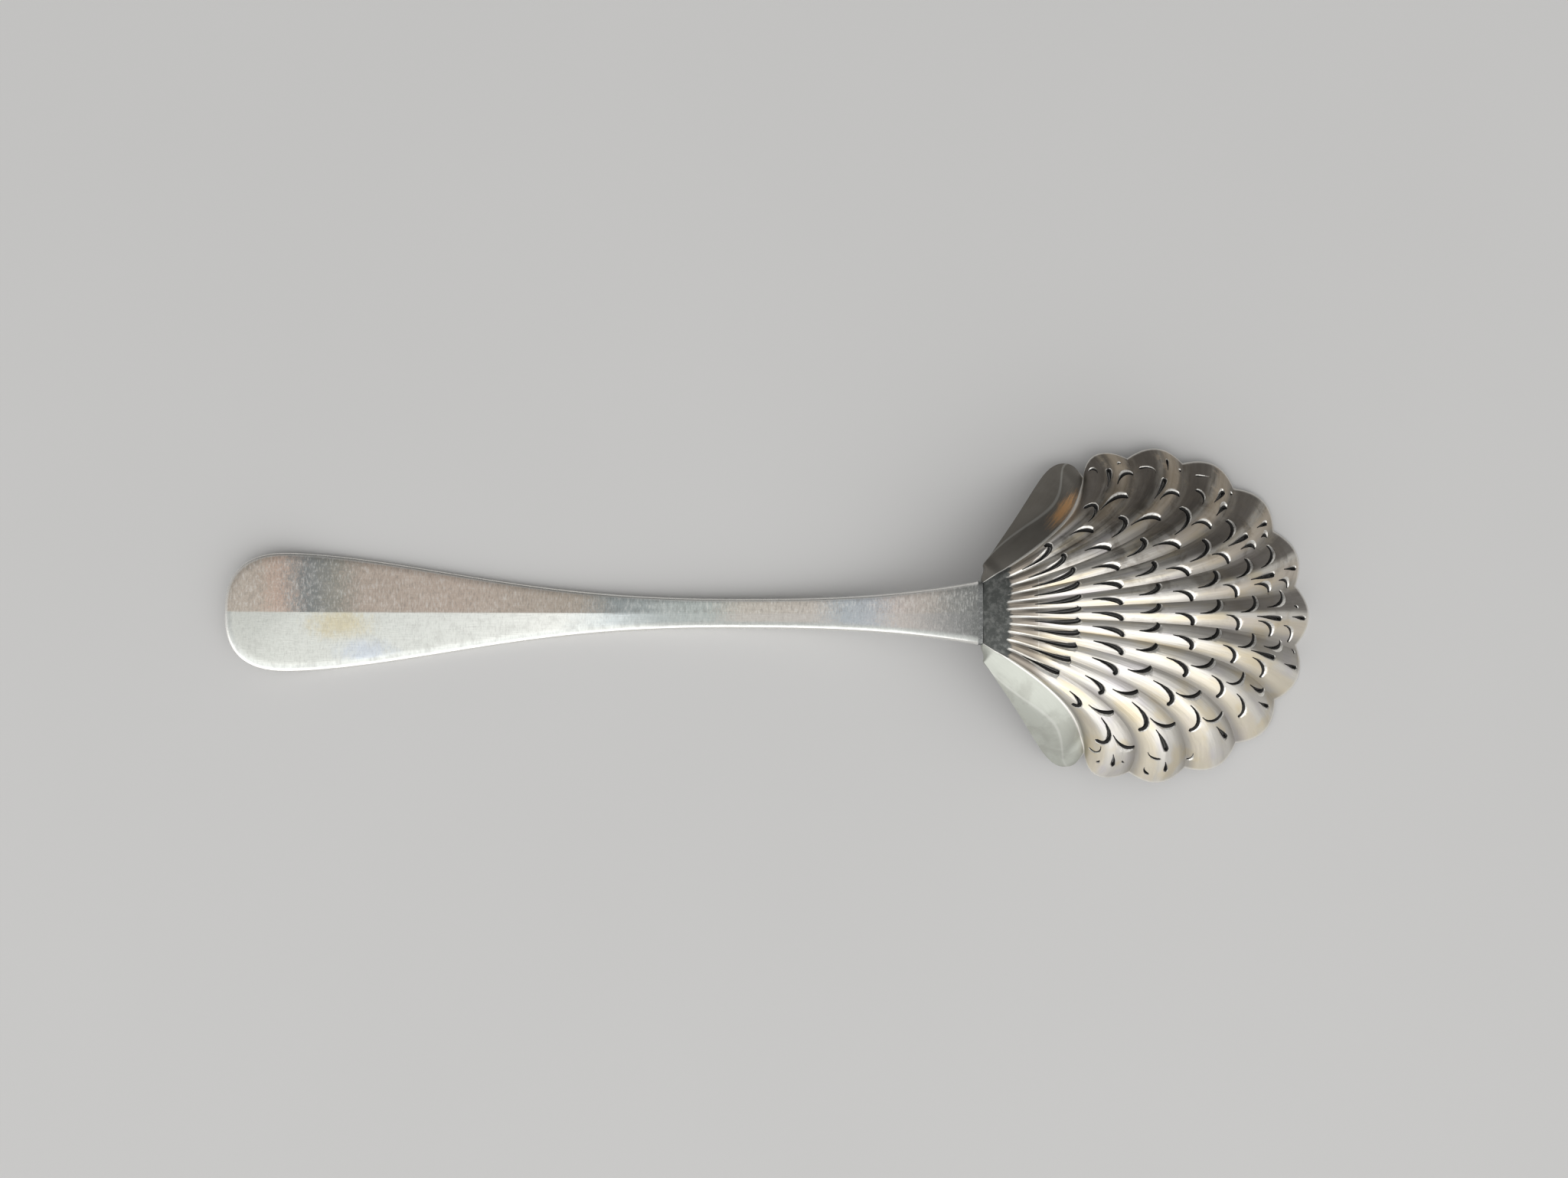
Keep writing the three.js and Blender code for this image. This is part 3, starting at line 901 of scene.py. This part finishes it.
def makeTarnishGroup():
    # cloudy stain and small freckles, as masks
    inputs = {"Vector": None, "Cloud Scale": 120.0, "Freckle Scale": 900.0, "Spread": 0.5}
    group, source, sink = newGroup("tarnish", inputs, ["Stain", "Freckle"])
    cloud = noise(source["Vector"], source["Cloud Scale"], *tarnish["cloudNoise"])
    spread = times(source["Spread"], tarnish["stainSpread"])
    low = minus(tarnish["stainFrom"], spread)
    high = plus(low, tarnish["stainFade"])
    link(fade(cloud, low, high), sink["Stain"])
    freckle = noise(source["Vector"], source["Freckle Scale"], *tarnish["freckleNoise"])
    link(fade(freckle, *tarnish["freckleFade"]), sink["Freckle"])
    return group


hairlines = {
    "along": {"stretch": (160, 5200, 5200), "turn": 2, "detail": 2.0, "roughness": 0.6},
    "slanted": {"stretch": (420, 7800, 7800), "turn": -11, "detail": 2.0, "roughness": 0.6},
    "across": {"stretch": (2600, 120, 2600), "turn": 7, "detail": 2.0, "roughness": 0.6},
    "alongHeight": 0.6,
    "slantedHeight": 0.4,
    "acrossDepth": 0.25,
    "acrossFade": (0.6, 0.75),
    "brightFade": (0.55, 0.8),
}


def makeHairlineGroup():
    # hairlines in three directions, as a height, and the brightest of them as a mask
    inputs = {"Vector": None, "Fineness": 1.0}
    group, source, sink = newGroup("hairlines", inputs, ["Height", "Bright"])

    def lines(way):
        return drawnNoise(source["Vector"], **hairlines[way], scale=source["Fineness"])

    along = lines("along")
    slanted = times(lines("slanted"), hairlines["slantedHeight"])
    grain = calc("MULTIPLY_ADD", along, hairlines["alongHeight"], slanted)
    crossing = fade(lines("across"), *hairlines["acrossFade"])
    cut = times(crossing, hairlines["acrossDepth"])
    link(minus(grain, cut), sink["Height"])
    link(fade(along, *hairlines["brightFade"]), sink["Bright"])
    return group


tarnishGroup = makeTarnishGroup()
hairlineGroup = makeHairlineGroup()


# finish of the handle

handleFinish = {
    "metallic": 1.0,
    # colours along the back: the upper half is painted shade, the lower half the lit side, both with tarnish
    # bands
    "shadedUpperBands": [
        (-0.104, (0.62, 0.55, 0.47)), (-0.0975, (0.66, 0.57, 0.48)), (-0.0942, (0.76, 0.57, 0.46)),
        (-0.0920, (0.62, 0.54, 0.48)), (-0.0884, (0.33, 0.35, 0.35)), (-0.083, (0.46, 0.44, 0.38)),
        (-0.078, (0.68, 0.57, 0.48)), (-0.060, (0.76, 0.63, 0.53)), (-0.036, (0.72, 0.63, 0.53)),
        (-0.029, (0.50, 0.55, 0.55)), (-0.011, (0.56, 0.61, 0.58)), (-0.005, (0.70, 0.65, 0.57)),
        (0.009, (0.70, 0.64, 0.57)), (0.015, (0.54, 0.59, 0.62)), (0.020, (0.58, 0.61, 0.64)),
        (0.025, (0.72, 0.64, 0.59)), (0.030, (0.66, 0.60, 0.54)), (0.035, (0.42, 0.42, 0.40)),
        (0.0395, (0.27, 0.28, 0.27)),
    ],
    "litLowerBands": [
        (-0.104, (0.78, 0.80, 0.74)), (-0.070, (0.78, 0.80, 0.75)), (-0.040, (0.82, 0.83, 0.78)),
        (-0.029, (0.62, 0.67, 0.67)), (-0.011, (0.60, 0.65, 0.62)), (-0.005, (0.71, 0.67, 0.61)),
        (0.009, (0.70, 0.66, 0.61)), (0.015, (0.56, 0.61, 0.64)), (0.020, (0.60, 0.63, 0.66)),
        (0.025, (0.72, 0.66, 0.61)), (0.030, (0.62, 0.59, 0.56)), (0.035, (0.42, 0.42, 0.41)),
        (0.0395, (0.27, 0.28, 0.27)),
    ],
    "straw": (0.74, 0.66, 0.44, 1),
    "strawSpot": ((-0.0825, -0.0022, 0), (0.0085, 0.0042, 0.1)),
    "blue": (0.68, 0.74, 0.82, 1),
    "blueSpot": ((-0.0775, -0.0075, 0), (0.0075, 0.0034, 0.1)),
    "bevel": (0.61, 0.63, 0.60, 1),
    "edge": (0.95, 0.94, 0.90, 1),
    "dark": (0.34, 0.33, 0.31, 1),
    "pale": (0.92, 0.91, 0.87, 1),
    # noises: cells in each direction, detail, roughness
    "tornNoise": ((1100, 500, 260), 6.0, 0.8),
    "grainNoise": ((5200, 2600, 900), 2.0, 0.6),
    "fleckNoise": ((3000, 900, 900), 3.0, 0.75),
    "tarnish": {"Cloud Scale": 420.0, "Freckle Scale": 2200.0, "Spread": 0.5},
    "hairlines": {"Fineness": 1.0},
    "tornBands": 0.008,
    "grainyBands": 0.010,
    "tornRim": 0.01,
    # fades: where they start and end, then what they run from and to if it isn't 0 and 1
    "fades": {
        "ridge": (-0.0002, 0.0003),
        "bevel": (0.085, 0.045),
        "paleFlecks": (0.50, 0.66, 0.0, 0.46),
        "darkFlecks": (0.50, 0.34, 0.0, 0.42),
        "rim": (0.040, 0.016),
    },
    "shares": {"spots": 0.8, "stain": 0.16, "hairlines": 0.16, "rim": 0.85},
    "fleckOnLower": 0.5,
    "roughness": 0.28,
    "stainRoughness": 0.10,
    "rimRoughness": -0.06,
    "fleckHeight": 0.5,
    "bump": (0.25, 0.00005),
}


def handleBands(x, stops):
    # the stops give colours at places along the handle
    share = fade(x, handle["tipX"], jointX, curve="LINEAR")
    return ramp(share, [((at - handle["tipX"]) / handle["length"], colour) for at, colour in stops])


def makeHandleSilver():
    material, shader, place = newMaterial("agedHandleSilver", handleFinish)
    fades = handleFinish["fades"]
    shares = handleFinish["shares"]
    fromRim = parted(fanMap(place))["X"]
    split = parted(place)

    # tarnish in bands along the handle, torn at their edges, and two stains on the lower side; the half
    # beyond the ridge is painted darker as shade and the near half lighter as the lit side, and the bevel is
    # toned on the lit side only
    torn = drawnNoise(place, *handleFinish["tornNoise"])
    grain = drawnNoise(place, *handleFinish["grainNoise"])
    moved = swing(torn, handleFinish["tornBands"])
    moved = plus(moved, swing(grain, handleFinish["grainyBands"]))
    shifted = plus(split["X"], moved)
    shadedUpperBands = handleBands(shifted, handleFinish["shadedUpperBands"])
    litLowerBands = handleBands(shifted, handleFinish["litLowerBands"])
    for tone in ("straw", "blue"):
        spot = smudge(place, torn, *handleFinish[tone + "Spot"])
        litLowerBands = tint(spot, litLowerBands, handleFinish[tone], shares["spots"])
    onShadedUpper = fade(split["Y"], *fades["ridge"])
    onLitLower = minus(1.0, onShadedUpper)
    # painted light and shade: the two halves of the back take the lit and the shaded colours
    colour = tint(onShadedUpper, litLowerBands, shadedUpperBands)
    bevel = times(fade(fromRim, *fades["bevel"]), onLitLower)
    colour = tint(bevel, colour, handleFinish["bevel"])

    # mottling: fine clouds, short flecks across the handle and hairlines along it
    stained = useGroup(tarnishGroup, place, handleFinish["tarnish"])
    lines = useGroup(hairlineGroup, place, handleFinish["hairlines"])
    flecks = drawnNoise(place, *handleFinish["fleckNoise"])
    leastFlecks = handleFinish["fleckOnLower"]
    fleckShare = calc("MULTIPLY_ADD", onShadedUpper, 1 - leastFlecks, leastFlecks)
    colour = tint(stained["Stain"], colour, handleFinish["dark"], shares["stain"])
    for tone in ("pale", "dark"):
        mask = times(fade(flecks, *fades[tone + "Flecks"]), fleckShare)
        colour = tint(mask, colour, handleFinish[tone])
    colour = tint(lines["Bright"], colour, handleFinish["pale"], shares["hairlines"])

    # the rim is painted bright, partly as wear and partly as a painted highlight on its rounded edge
    fromTornRim = plus(fromRim, swing(torn, handleFinish["tornRim"]))
    rubbedRimHighlight = fade(fromTornRim, *fades["rim"])
    colour = tint(rubbedRimHighlight, colour, handleFinish["edge"], shares["rim"])
    rough = plus(times(stained["Stain"], handleFinish["stainRoughness"]), handleFinish["roughness"])
    rough = plus(times(rubbedRimHighlight, handleFinish["rimRoughness"]), rough)
    plug(shader, {"Base Color": colour, "Roughness": rough})
    relief = calc("MULTIPLY_ADD", flecks, handleFinish["fleckHeight"], lines["Height"])
    bump(shader, relief, *handleFinish["bump"])
    return material


# finish of the solder

solderFinish = {
    "metallic": 1.0,
    "dull": (0.20, 0.205, 0.20, 1),
    "bright": (0.34, 0.345, 0.335, 1),
    "grainNoise": (2200.0, 4.0, 0.7),
    "brightFade": (0.45, 0.7),
    "roughFade": (0.3, 0.8, 0.55, 0.40),
    "bump": (0.35, 0.00004),
}


def makeSolderSilver():
    material, shader, place = newMaterial("dullSolder", solderFinish)
    grain = noise(place, *solderFinish["grainNoise"])
    bright = fade(grain, *solderFinish["brightFade"])
    colour = tint(bright, solderFinish["dull"], solderFinish["bright"])
    rough = fade(grain, *solderFinish["roughFade"])
    plug(shader, {"Base Color": colour, "Roughness": rough})
    bump(shader, grain, *solderFinish["bump"])
    return material


# finish of the bowl's back

bowlFinish = {
    "metallic": 1.0,
    "silver": (0.83, 0.80, 0.74, 1),
    "bright": (0.93, 0.91, 0.86, 1),
    "warm": (0.80, 0.70, 0.50, 1),
    "tan": (0.56, 0.46, 0.34, 1),
    "shade": (0.13, 0.115, 0.10, 1),
    "violet": (0.72, 0.69, 0.73, 1),
    "grey": (0.54, 0.52, 0.48, 1),
    "brown": (0.165, 0.145, 0.12, 1),
    "band": (0.26, 0.225, 0.185, 1),
    "patch": (0.10, 0.105, 0.10, 1),
    "patchPale": (0.20, 0.205, 0.195, 1),
    "orange": (0.90, 0.52, 0.24, 1),
    "earUpper": (0.23, 0.215, 0.19, 1),
    "earLower": (0.50, 0.515, 0.465, 1),
    "earLine": (0.66, 0.66, 0.62, 1),
    "tarnish": {"Cloud Scale": 170.0, "Freckle Scale": 1500.0, "Spread": 0.5},
    # noises and fades are written as those of the handle
    "broadNoise": ((95.0, 3.2, 1.0), 3.0, 0.6),
    "fineNoise": ((330.0, 7.0, 1.0), 3.0, 0.65),
    "glintNoise": ((30.0, 5.0, 1.0), 2.0, 0.5, (3.0, 1.0, 0.0)),
    "spotNoise": ((420, 420, 420), 4.0, 0.7),
    "mottleNoise": (900.0, 4.0, 0.7),
    "tornNoise": ((500, 900, 500), 3.0, 0.6),
    "streaks": [
        {"noise": "broad", "from": 0.46, "to": 0.64, "colour": "grey", "share": 0.5},
        {"noise": "fine", "from": 0.50, "to": 0.68, "colour": "grey", "share": 0.3},
        {"noise": "fine", "from": 0.46, "to": 0.32, "colour": "bright", "share": 0.4},
    ],
    "glints": [
        {"from": 0.50, "to": 0.68, "colour": "warm", "share": 0.75},
        {"from": 0.46, "to": 0.30, "colour": "violet", "share": 0.5},
    ],
    "cloudyEdges": 0.010,
    "streakyFlanks": 0.8,
    "patchEnd": 0.0447,
    "tornPatch": 0.0030,
    "patchInGrooves": 0.0003,
    "scribedAt": 0.0495,
    "heelBand": (0.003, -0.0015),  # from the scribed line, where the bands start and are full
    "orangeReflection": ((0.0553, 0.0192, 0), (0.0060, 0.0017, 0.1), 50),
    "fades": {
        "towardsRim": (0.95, 0.35, 0.45, 1.0),
        "shadedFarSide": (-0.003, 0.024),
        "streakyFarSide": (0.38, 0.60, 0.80, 1.0),
        "spots": (0.52, 0.66),
        "pastMiddle": (0.26, 0.55),
        "offNearSide": (-0.020, 0.002, 0.22, 1.0),
        "shadedFarFlank": (0.0, 0.75),
        "litNearFlank": (-0.15, -0.9),
        "warmToTan": (-0.012, 0.006),
        "groove": (0.35, 0.95),
        "grooveFromHeel": (0.10, 0.4),
        "heelGroove": (0.50, 0.74),
        "ear": (fanEdge, fanEdge + 0.06),
        "earSides": (-0.01, 0.01),
        "facetLine": (0.05, 0.01),
        "crease": (0.06, 0.015),
        "rim": (0.982, 0.998),
        "mottle": (0.42, 0.7),
        "patchEdge": (0.0004, -0.0004),
        "patchSides": (fanEdge + 0.02, fanEdge - 0.08),
        "scribedLine": (0.00016, 0.00004),
        "scribedSides": (4.2, 3.2),
        "roughness": (0.35, 0.7, 0.31, 0.42),
    },
    "shares": {
        "spots": 0.4,
        "litNearFlank": 0.5,
        "shadedFarFlank": 0.88,
        "groove": 0.55,
        "heel": 0.9,
        "earStain": 0.2,
        "facetLine": 0.4,
        "orange": 0.85,
        "crease": 0.85,
        "rim": 0.75,
        "scribed": 0.28,
    },
    "patchRoughness": 0.18,
    "earRoughness": 0.05,
    "freckleRoughness": 0.05,
    "fineHeight": 0.22,
    "heightOffLobes": 0.12,
    "bump": (0.42, 0.0002),
}


def makeBowlSilver():
    material, shader, place = newMaterial("agedBowlSilver", bowlFinish)
    fades = bowlFinish["fades"]
    shares = bowlFinish["shares"]
    fan = fanMap(place)
    acrossFan = parted(fan)["X"]
    along = parted(fan)["Y"]
    x = parted(place)["X"]
    y = parted(place)["Y"]
    lobe = calc("MULTIPLY_ADD", acrossFan, 2 * mapEdge, -mapEdge)
    onCrest = calc("ABSOLUTE", calc("COSINE", times(lobe, pi)))
    valley = minus(1.0, onCrest)
    outward = calc("ABSOLUTE", lobe)
    stained = useGroup(tarnishGroup, place, bowlFinish["tarnish"])
    streaks = {
        "broad": drawnNoise(fan, *bowlFinish["broadNoise"]),
        "fine": drawnNoise(fan, *bowlFinish["fineNoise"]),
    }
    glint = drawnNoise(fan, *bowlFinish["glintNoise"])

    # lobes: streaks of bright and grey silver, warm and violet glints, and painted shade that turns them
    # browner towards the far side
    colour = bowlFinish["silver"]
    towardsRim = fade(along, *fades["towardsRim"])
    for layer in bowlFinish["streaks"]:
        mask = fade(streaks[layer["noise"]], layer["from"], layer["to"])
        mask = times(mask, towardsRim)
        colour = tint(mask, colour, bowlFinish[layer["colour"]], layer["share"])
    for layer in bowlFinish["glints"]:
        mask = fade(glint, layer["from"], layer["to"])
        colour = tint(mask, colour, bowlFinish[layer["colour"]], layer["share"])
    cloudy = swing(stained["Stain"], bowlFinish["cloudyEdges"])
    shadedFarSide = fade(plus(y, cloudy), *fades["shadedFarSide"])
    streaky = fade(streaks["broad"], *fades["streakyFarSide"])
    colour = tint(times(shadedFarSide, streaky), colour, bowlFinish["brown"])
    spots = fade(drawnNoise(place, *bowlFinish["spotNoise"]), *fades["spots"])
    colour = tint(times(spots, shadedFarSide), colour, bowlFinish["tan"], shares["spots"])

    # painted light and shade on each lobe: a warm tan on its lit near flank and dark painted shade on its
    # far flank, more so past the middle of the bowl
    flank = calc("SINE", times(lobe, 2 * pi))
    flank = plus(flank, swing(streaks["broad"], bowlFinish["streakyFlanks"]))
    pastMiddle = fade(plus(along, cloudy), *fades["pastMiddle"])
    litNearFlank = times(fade(flank, *fades["litNearFlank"]), pastMiddle)
    shadedFarFlank = times(fade(flank, *fades["shadedFarFlank"]), pastMiddle)
    shadedFarFlank = times(shadedFarFlank, fade(y, *fades["offNearSide"]))
    # painted light of the near flanks, warm on the window's side and tan further off
    tan = tint(fade(y, *fades["warmToTan"]), bowlFinish["warm"], bowlFinish["tan"])
    colour = tint(litNearFlank, colour, tan, shares["litNearFlank"])
    colour = tint(shadedFarFlank, colour, bowlFinish["shade"], shares["shadedFarFlank"])
    groove = times(fade(valley, *fades["groove"]), fade(along, *fades["grooveFromHeel"]))
    colour = tint(groove, colour, bowlFinish["brown"], shares["groove"])

    # heel: dark bands between the first lengths of the grooves, which are painted bright as a highlight
    bandStart, bandEnd = [bowlFinish["scribedAt"] + offset for offset in bowlFinish["heelBand"]]
    nearHeel = fade(x, bandStart, bandEnd)
    heelGroove = fade(valley, *fades["heelGroove"])
    band = times(nearHeel, minus(1.0, heelGroove))
    colour = tint(band, colour, bowlFinish["band"], shares["heel"])
    colour = tint(times(nearHeel, heelGroove), colour, bowlFinish["bright"], shares["heel"])

    # ears: painted light and shade, pale on the lit side and grey brown on the far side, a painted orange
    # reflection by the far crease, and a painted highlight along the crease
    onEar = fade(outward, *fades["ear"])
    earSides = fade(y, *fades["earSides"])
    earColour = tint(earSides, bowlFinish["earLower"], bowlFinish["earUpper"])
    earColour = tint(stained["Stain"], earColour, bowlFinish["brown"], shares["earStain"])
    outOnEar = minus(outward, fanEdge)
    fromFacetStart = minus(along, bowl["facetStart"])
    facetTurn = times(calc("DIVIDE", fromFacetStart, bowl["facetLength"]), pi)
    facetAt = calc("MULTIPLY_ADD", calc("SINE", facetTurn), -bowl["earFacet"], 1.0)
    fromFacet = calc("ABSOLUTE", minus(outOnEar, facetAt))
    facetLine = fade(fromFacet, *fades["facetLine"])
    earColour = tint(facetLine, earColour, bowlFinish["earLine"], shares["facetLine"])
    colour = tint(onEar, colour, earColour)
    orangeReflection = smudge(place, streaks["fine"], *bowlFinish["orangeReflection"])
    colour = tint(orangeReflection, colour, bowlFinish["orange"], shares["orange"])
    crease = fade(calc("ABSOLUTE", outOnEar), *fades["crease"])
    colour = tint(crease, colour, bowlFinish["bright"], shares["crease"])

    # the rim is rubbed bright
    colour = tint(fade(along, *fades["rim"]), colour, bowlFinish["bright"], shares["rim"])

    # smooth dark patch at the heel with a torn edge, a painted dark reflection, and a scribed line a little
    # further out
    mottle = fade(noise(place, *bowlFinish["mottleNoise"]), *fades["mottle"])
    patchColour = tint(mottle, bowlFinish["patch"], bowlFinish["patchPale"])
    torn = swing(drawnNoise(place, *bowlFinish["tornNoise"]), bowlFinish["tornPatch"])
    patchEdge = plus(torn, bowlFinish["patchEnd"])
    patchEdge = calc("MULTIPLY_ADD", heelGroove, -bowlFinish["patchInGrooves"], patchEdge)
    onPatch = fade(minus(x, patchEdge), *fades["patchEdge"])
    onPatch = times(onPatch, fade(outward, *fades["patchSides"]))
    colour = tint(onPatch, colour, patchColour)
    fromScribed = calc("ABSOLUTE", minus(x, bowlFinish["scribedAt"]))
    scribed = times(fade(fromScribed, *fades["scribedLine"]), fade(outward, *fades["scribedSides"]))
    colour = tint(scribed, colour, bowlFinish["bright"], shares["scribed"])

    # the patch and the ears are duller and smoother than the lobes
    rough = fade(streaks["fine"], *fades["roughness"])
    rough = plus(rough, times(onPatch, bowlFinish["patchRoughness"]))
    rough = plus(rough, times(onEar, bowlFinish["earRoughness"]))
    rough = plus(rough, times(stained["Freckle"], bowlFinish["freckleRoughness"]))
    plug(shader, {"Base Color": colour, "Roughness": rough})
    relief = plus(streaks["broad"], times(streaks["fine"], bowlFinish["fineHeight"]))
    onLobes = times(minus(1.0, onEar), minus(1.0, onPatch))
    least = bowlFinish["heightOffLobes"]
    heightShare = calc("MULTIPLY_ADD", onLobes, 1 - least, least)
    bump(shader, times(relief, heightShare), *bowlFinish["bump"])
    return material


# finish of the sawn walls

sawnFinish = {
    "metallic": 1.0,
    "bright": (0.92, 0.91, 0.87, 1),
    "dull": (0.66, 0.62, 0.56, 1),
    "slotShade": (0.02, 0.019, 0.018, 1),
    "sawMarks": ((900, 900, 5200), 3.0, 0.65),
    "dullFade": (0.4, 0.7),
    "slotShadeFade": (0.09, 0.21),
    "wornEdge": 0.08,
    "roughness": 0.3,
    "slotShadeRoughness": 0.55,
    "bump": (0.3, 0.00005),
}


def makeSawnSilver():
    # the fan map of a sawn wall holds its depth below the surface, in millimetres
    material, shader, place = newMaterial("sawnSilver", sawnFinish)
    depth = parted(fanMap(place))["Y"]
    marks = drawnNoise(place, *sawnFinish["sawMarks"])
    worn = swing(marks, sawnFinish["wornEdge"])
    # painted shade: the wall darkens to near black deeper in the slot
    paintedSlotShade = fade(plus(depth, worn), *sawnFinish["slotShadeFade"])
    dull = fade(marks, *sawnFinish["dullFade"])
    colour = tint(dull, sawnFinish["bright"], sawnFinish["dull"])
    colour = tint(paintedSlotShade, colour, sawnFinish["slotShade"])
    rough = plus(times(paintedSlotShade, sawnFinish["slotShadeRoughness"]), sawnFinish["roughness"])
    plug(shader, {"Base Color": colour, "Roughness": rough, "Metallic": minus(1.0, paintedSlotShade)})
    bump(shader, marks, *sawnFinish["bump"])
    return material


# finish of the bowl's inside

insideFinish = {
    "metallic": 1.0,
    "silver": (0.46, 0.45, 0.43, 1),
    "stain": (0.26, 0.24, 0.21, 1),
    "tarnish": {"Cloud Scale": 110.0, "Freckle Scale": 1100.0, "Spread": 0.5},
    "streakNoise": ((120.0, 3.0, 1.0), 3.0, 0.6),
    "streakFade": (0.45, 0.7),
    "roughFade": (0.3, 0.7, 0.32, 0.44),
    "stainShare": 0.6,
    "streakShare": 0.3,
    "bump": (0.3, 0.00008),
}


def makeInsideSilver():
    # the hollow side: the same streaks, duller and more stained, and darker overall as painted shade
    material, shader, place = newMaterial("shadedStainedBowlInside", insideFinish)
    stained = useGroup(tarnishGroup, place, insideFinish["tarnish"])
    streak = drawnNoise(fanMap(place), *insideFinish["streakNoise"])
    dull = fade(streak, *insideFinish["streakFade"])
    stain = insideFinish["stain"]
    colour = tint(stained["Stain"], insideFinish["silver"], stain, insideFinish["stainShare"])
    colour = tint(dull, colour, stain, insideFinish["streakShare"])
    rough = fade(streak, *insideFinish["roughFade"])
    plug(shader, {"Base Color": colour, "Roughness": rough})
    bump(shader, streak, *insideFinish["bump"])
    return material


handleSilver = makeHandleSilver()
solderSilver = makeSolderSilver()
bowlSilver = makeBowlSilver()
insideSilver = makeInsideSilver()
sawnSilver = makeSawnSilver()
print("finishes ready")

handlePiece = makeHandle()
handlePiece.data.materials.append(handleSilver)
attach(handlePiece, "root")
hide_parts("handle")
print("handle:", len(handlePiece.data.polygons), "faces")

seamPiece = makeSeam()
seamPiece.data.materials.append(solderSilver)
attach(seamPiece, "root")
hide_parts("solder_seam")
print("solder seam:", len(seamPiece.data.polygons), "faces")

bowlPiece = makeShell()
bowlPiece.data.materials.append(bowlSilver)
bowlPiece.data.materials.append(insideSilver)
bowlPiece.data.materials.append(sawnSilver)
pierce(bowlPiece, makeCutters(), sawnSilver)
shadeByAngle(bowlPiece, bowl["smoothBelow"])
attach(bowlPiece, "root")
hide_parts("bowl")
print("bowl:", len(bowlPiece.data.polygons), "faces")


# table, light and camera

table = {
    "size": 30.0,
    "metallic": 0.0,
    "colour": (0.66, 0.655, 0.645, 1),
    "shade": (0.63, 0.625, 0.615, 1),
    "shadeScale": 9.0,
    "roughness": 0.9,
    "specular": 0.2,
}


def makeTable():
    bm = bmesh.new()
    bmesh.ops.create_grid(bm, x_segments=1, y_segments=1, size=table["size"] / 2)
    piece = pieceFrom(bm, "tableTop")
    material, shader, place = newMaterial("paleTable", table)
    colour = tint(noise(place, table["shadeScale"]), table["colour"], table["shade"])
    plug(shader, {
        "Base Color": colour,
        "Roughness": table["roughness"],
        "Specular IOR Level": table["specular"],
    })
    piece.data.materials.append(material)


lighting = {
    "windowPlace": (0.0, -0.75, 0.75),
    "windowSize": (2.6, 1.6),
    "windowPower": 10.0,
    "windowAim": (0.0, 0.0, 0.0),
    # brightness of the room by direction, from the window's side (-1) to the far side (1)
    "sky": [
        (-1.0, 0.75), (-0.25, 0.85), (-0.08, 0.76), (0.0, 0.60), (0.08, 0.47), (0.5, 0.42),
        (0.8, 0.20), (1.0, 0.12),
    ],
    "skyStrength": 1.0,
}


def aimed(piece, place, target):
    piece.location = place
    piece.rotation_euler = (Vector(target) - Vector(place)).to_track_quat("-Z", "Y").to_euler()


def makeLight():
    window = bpy.data.lights.new("window", "AREA")
    window.shape = "RECTANGLE"
    window.size, window.size_y = lighting["windowSize"]
    window.energy = lighting["windowPower"]
    lamp = addObject("window", window)
    aimed(lamp, lighting["windowPlace"], lighting["windowAim"])
    lamp.visible_camera = False
    world = bpy.data.worlds.new("room")
    scene.world = world
    world.use_nodes = True
    nodes = world.node_tree.nodes
    direction = nodes.new("ShaderNodeTexCoord").outputs["Generated"]
    towards = fade(parted(direction)["Y"], -1.0, 1.0, curve="LINEAR")
    stops = [((y + 1) / 2, (level, level, level)) for y, level in lighting["sky"]]
    plug(nodes["Background"], {"Color": ramp(towards, stops), "Strength": lighting["skyStrength"]})


camera = {
    "place": (0.01054, -0.00531, 0.280),
    "turn": (2.08, 1.45, 0.21),
    "lens": 33.27,
    "sensor": 36.0,
    "clip": (0.01, 20),
}


def makeCamera():
    lensData = bpy.data.cameras.new("camera")
    lensData.lens = camera["lens"]
    lensData.sensor_width = camera["sensor"]
    lensData.clip_start, lensData.clip_end = camera["clip"]
    viewer = addObject("camera", lensData)
    viewer.location = camera["place"]
    viewer.rotation_euler = [radians(angle) for angle in camera["turn"]]
    scene.camera = viewer


makeTable()
makeLight()
makeCamera()
print("table, light and camera ready")
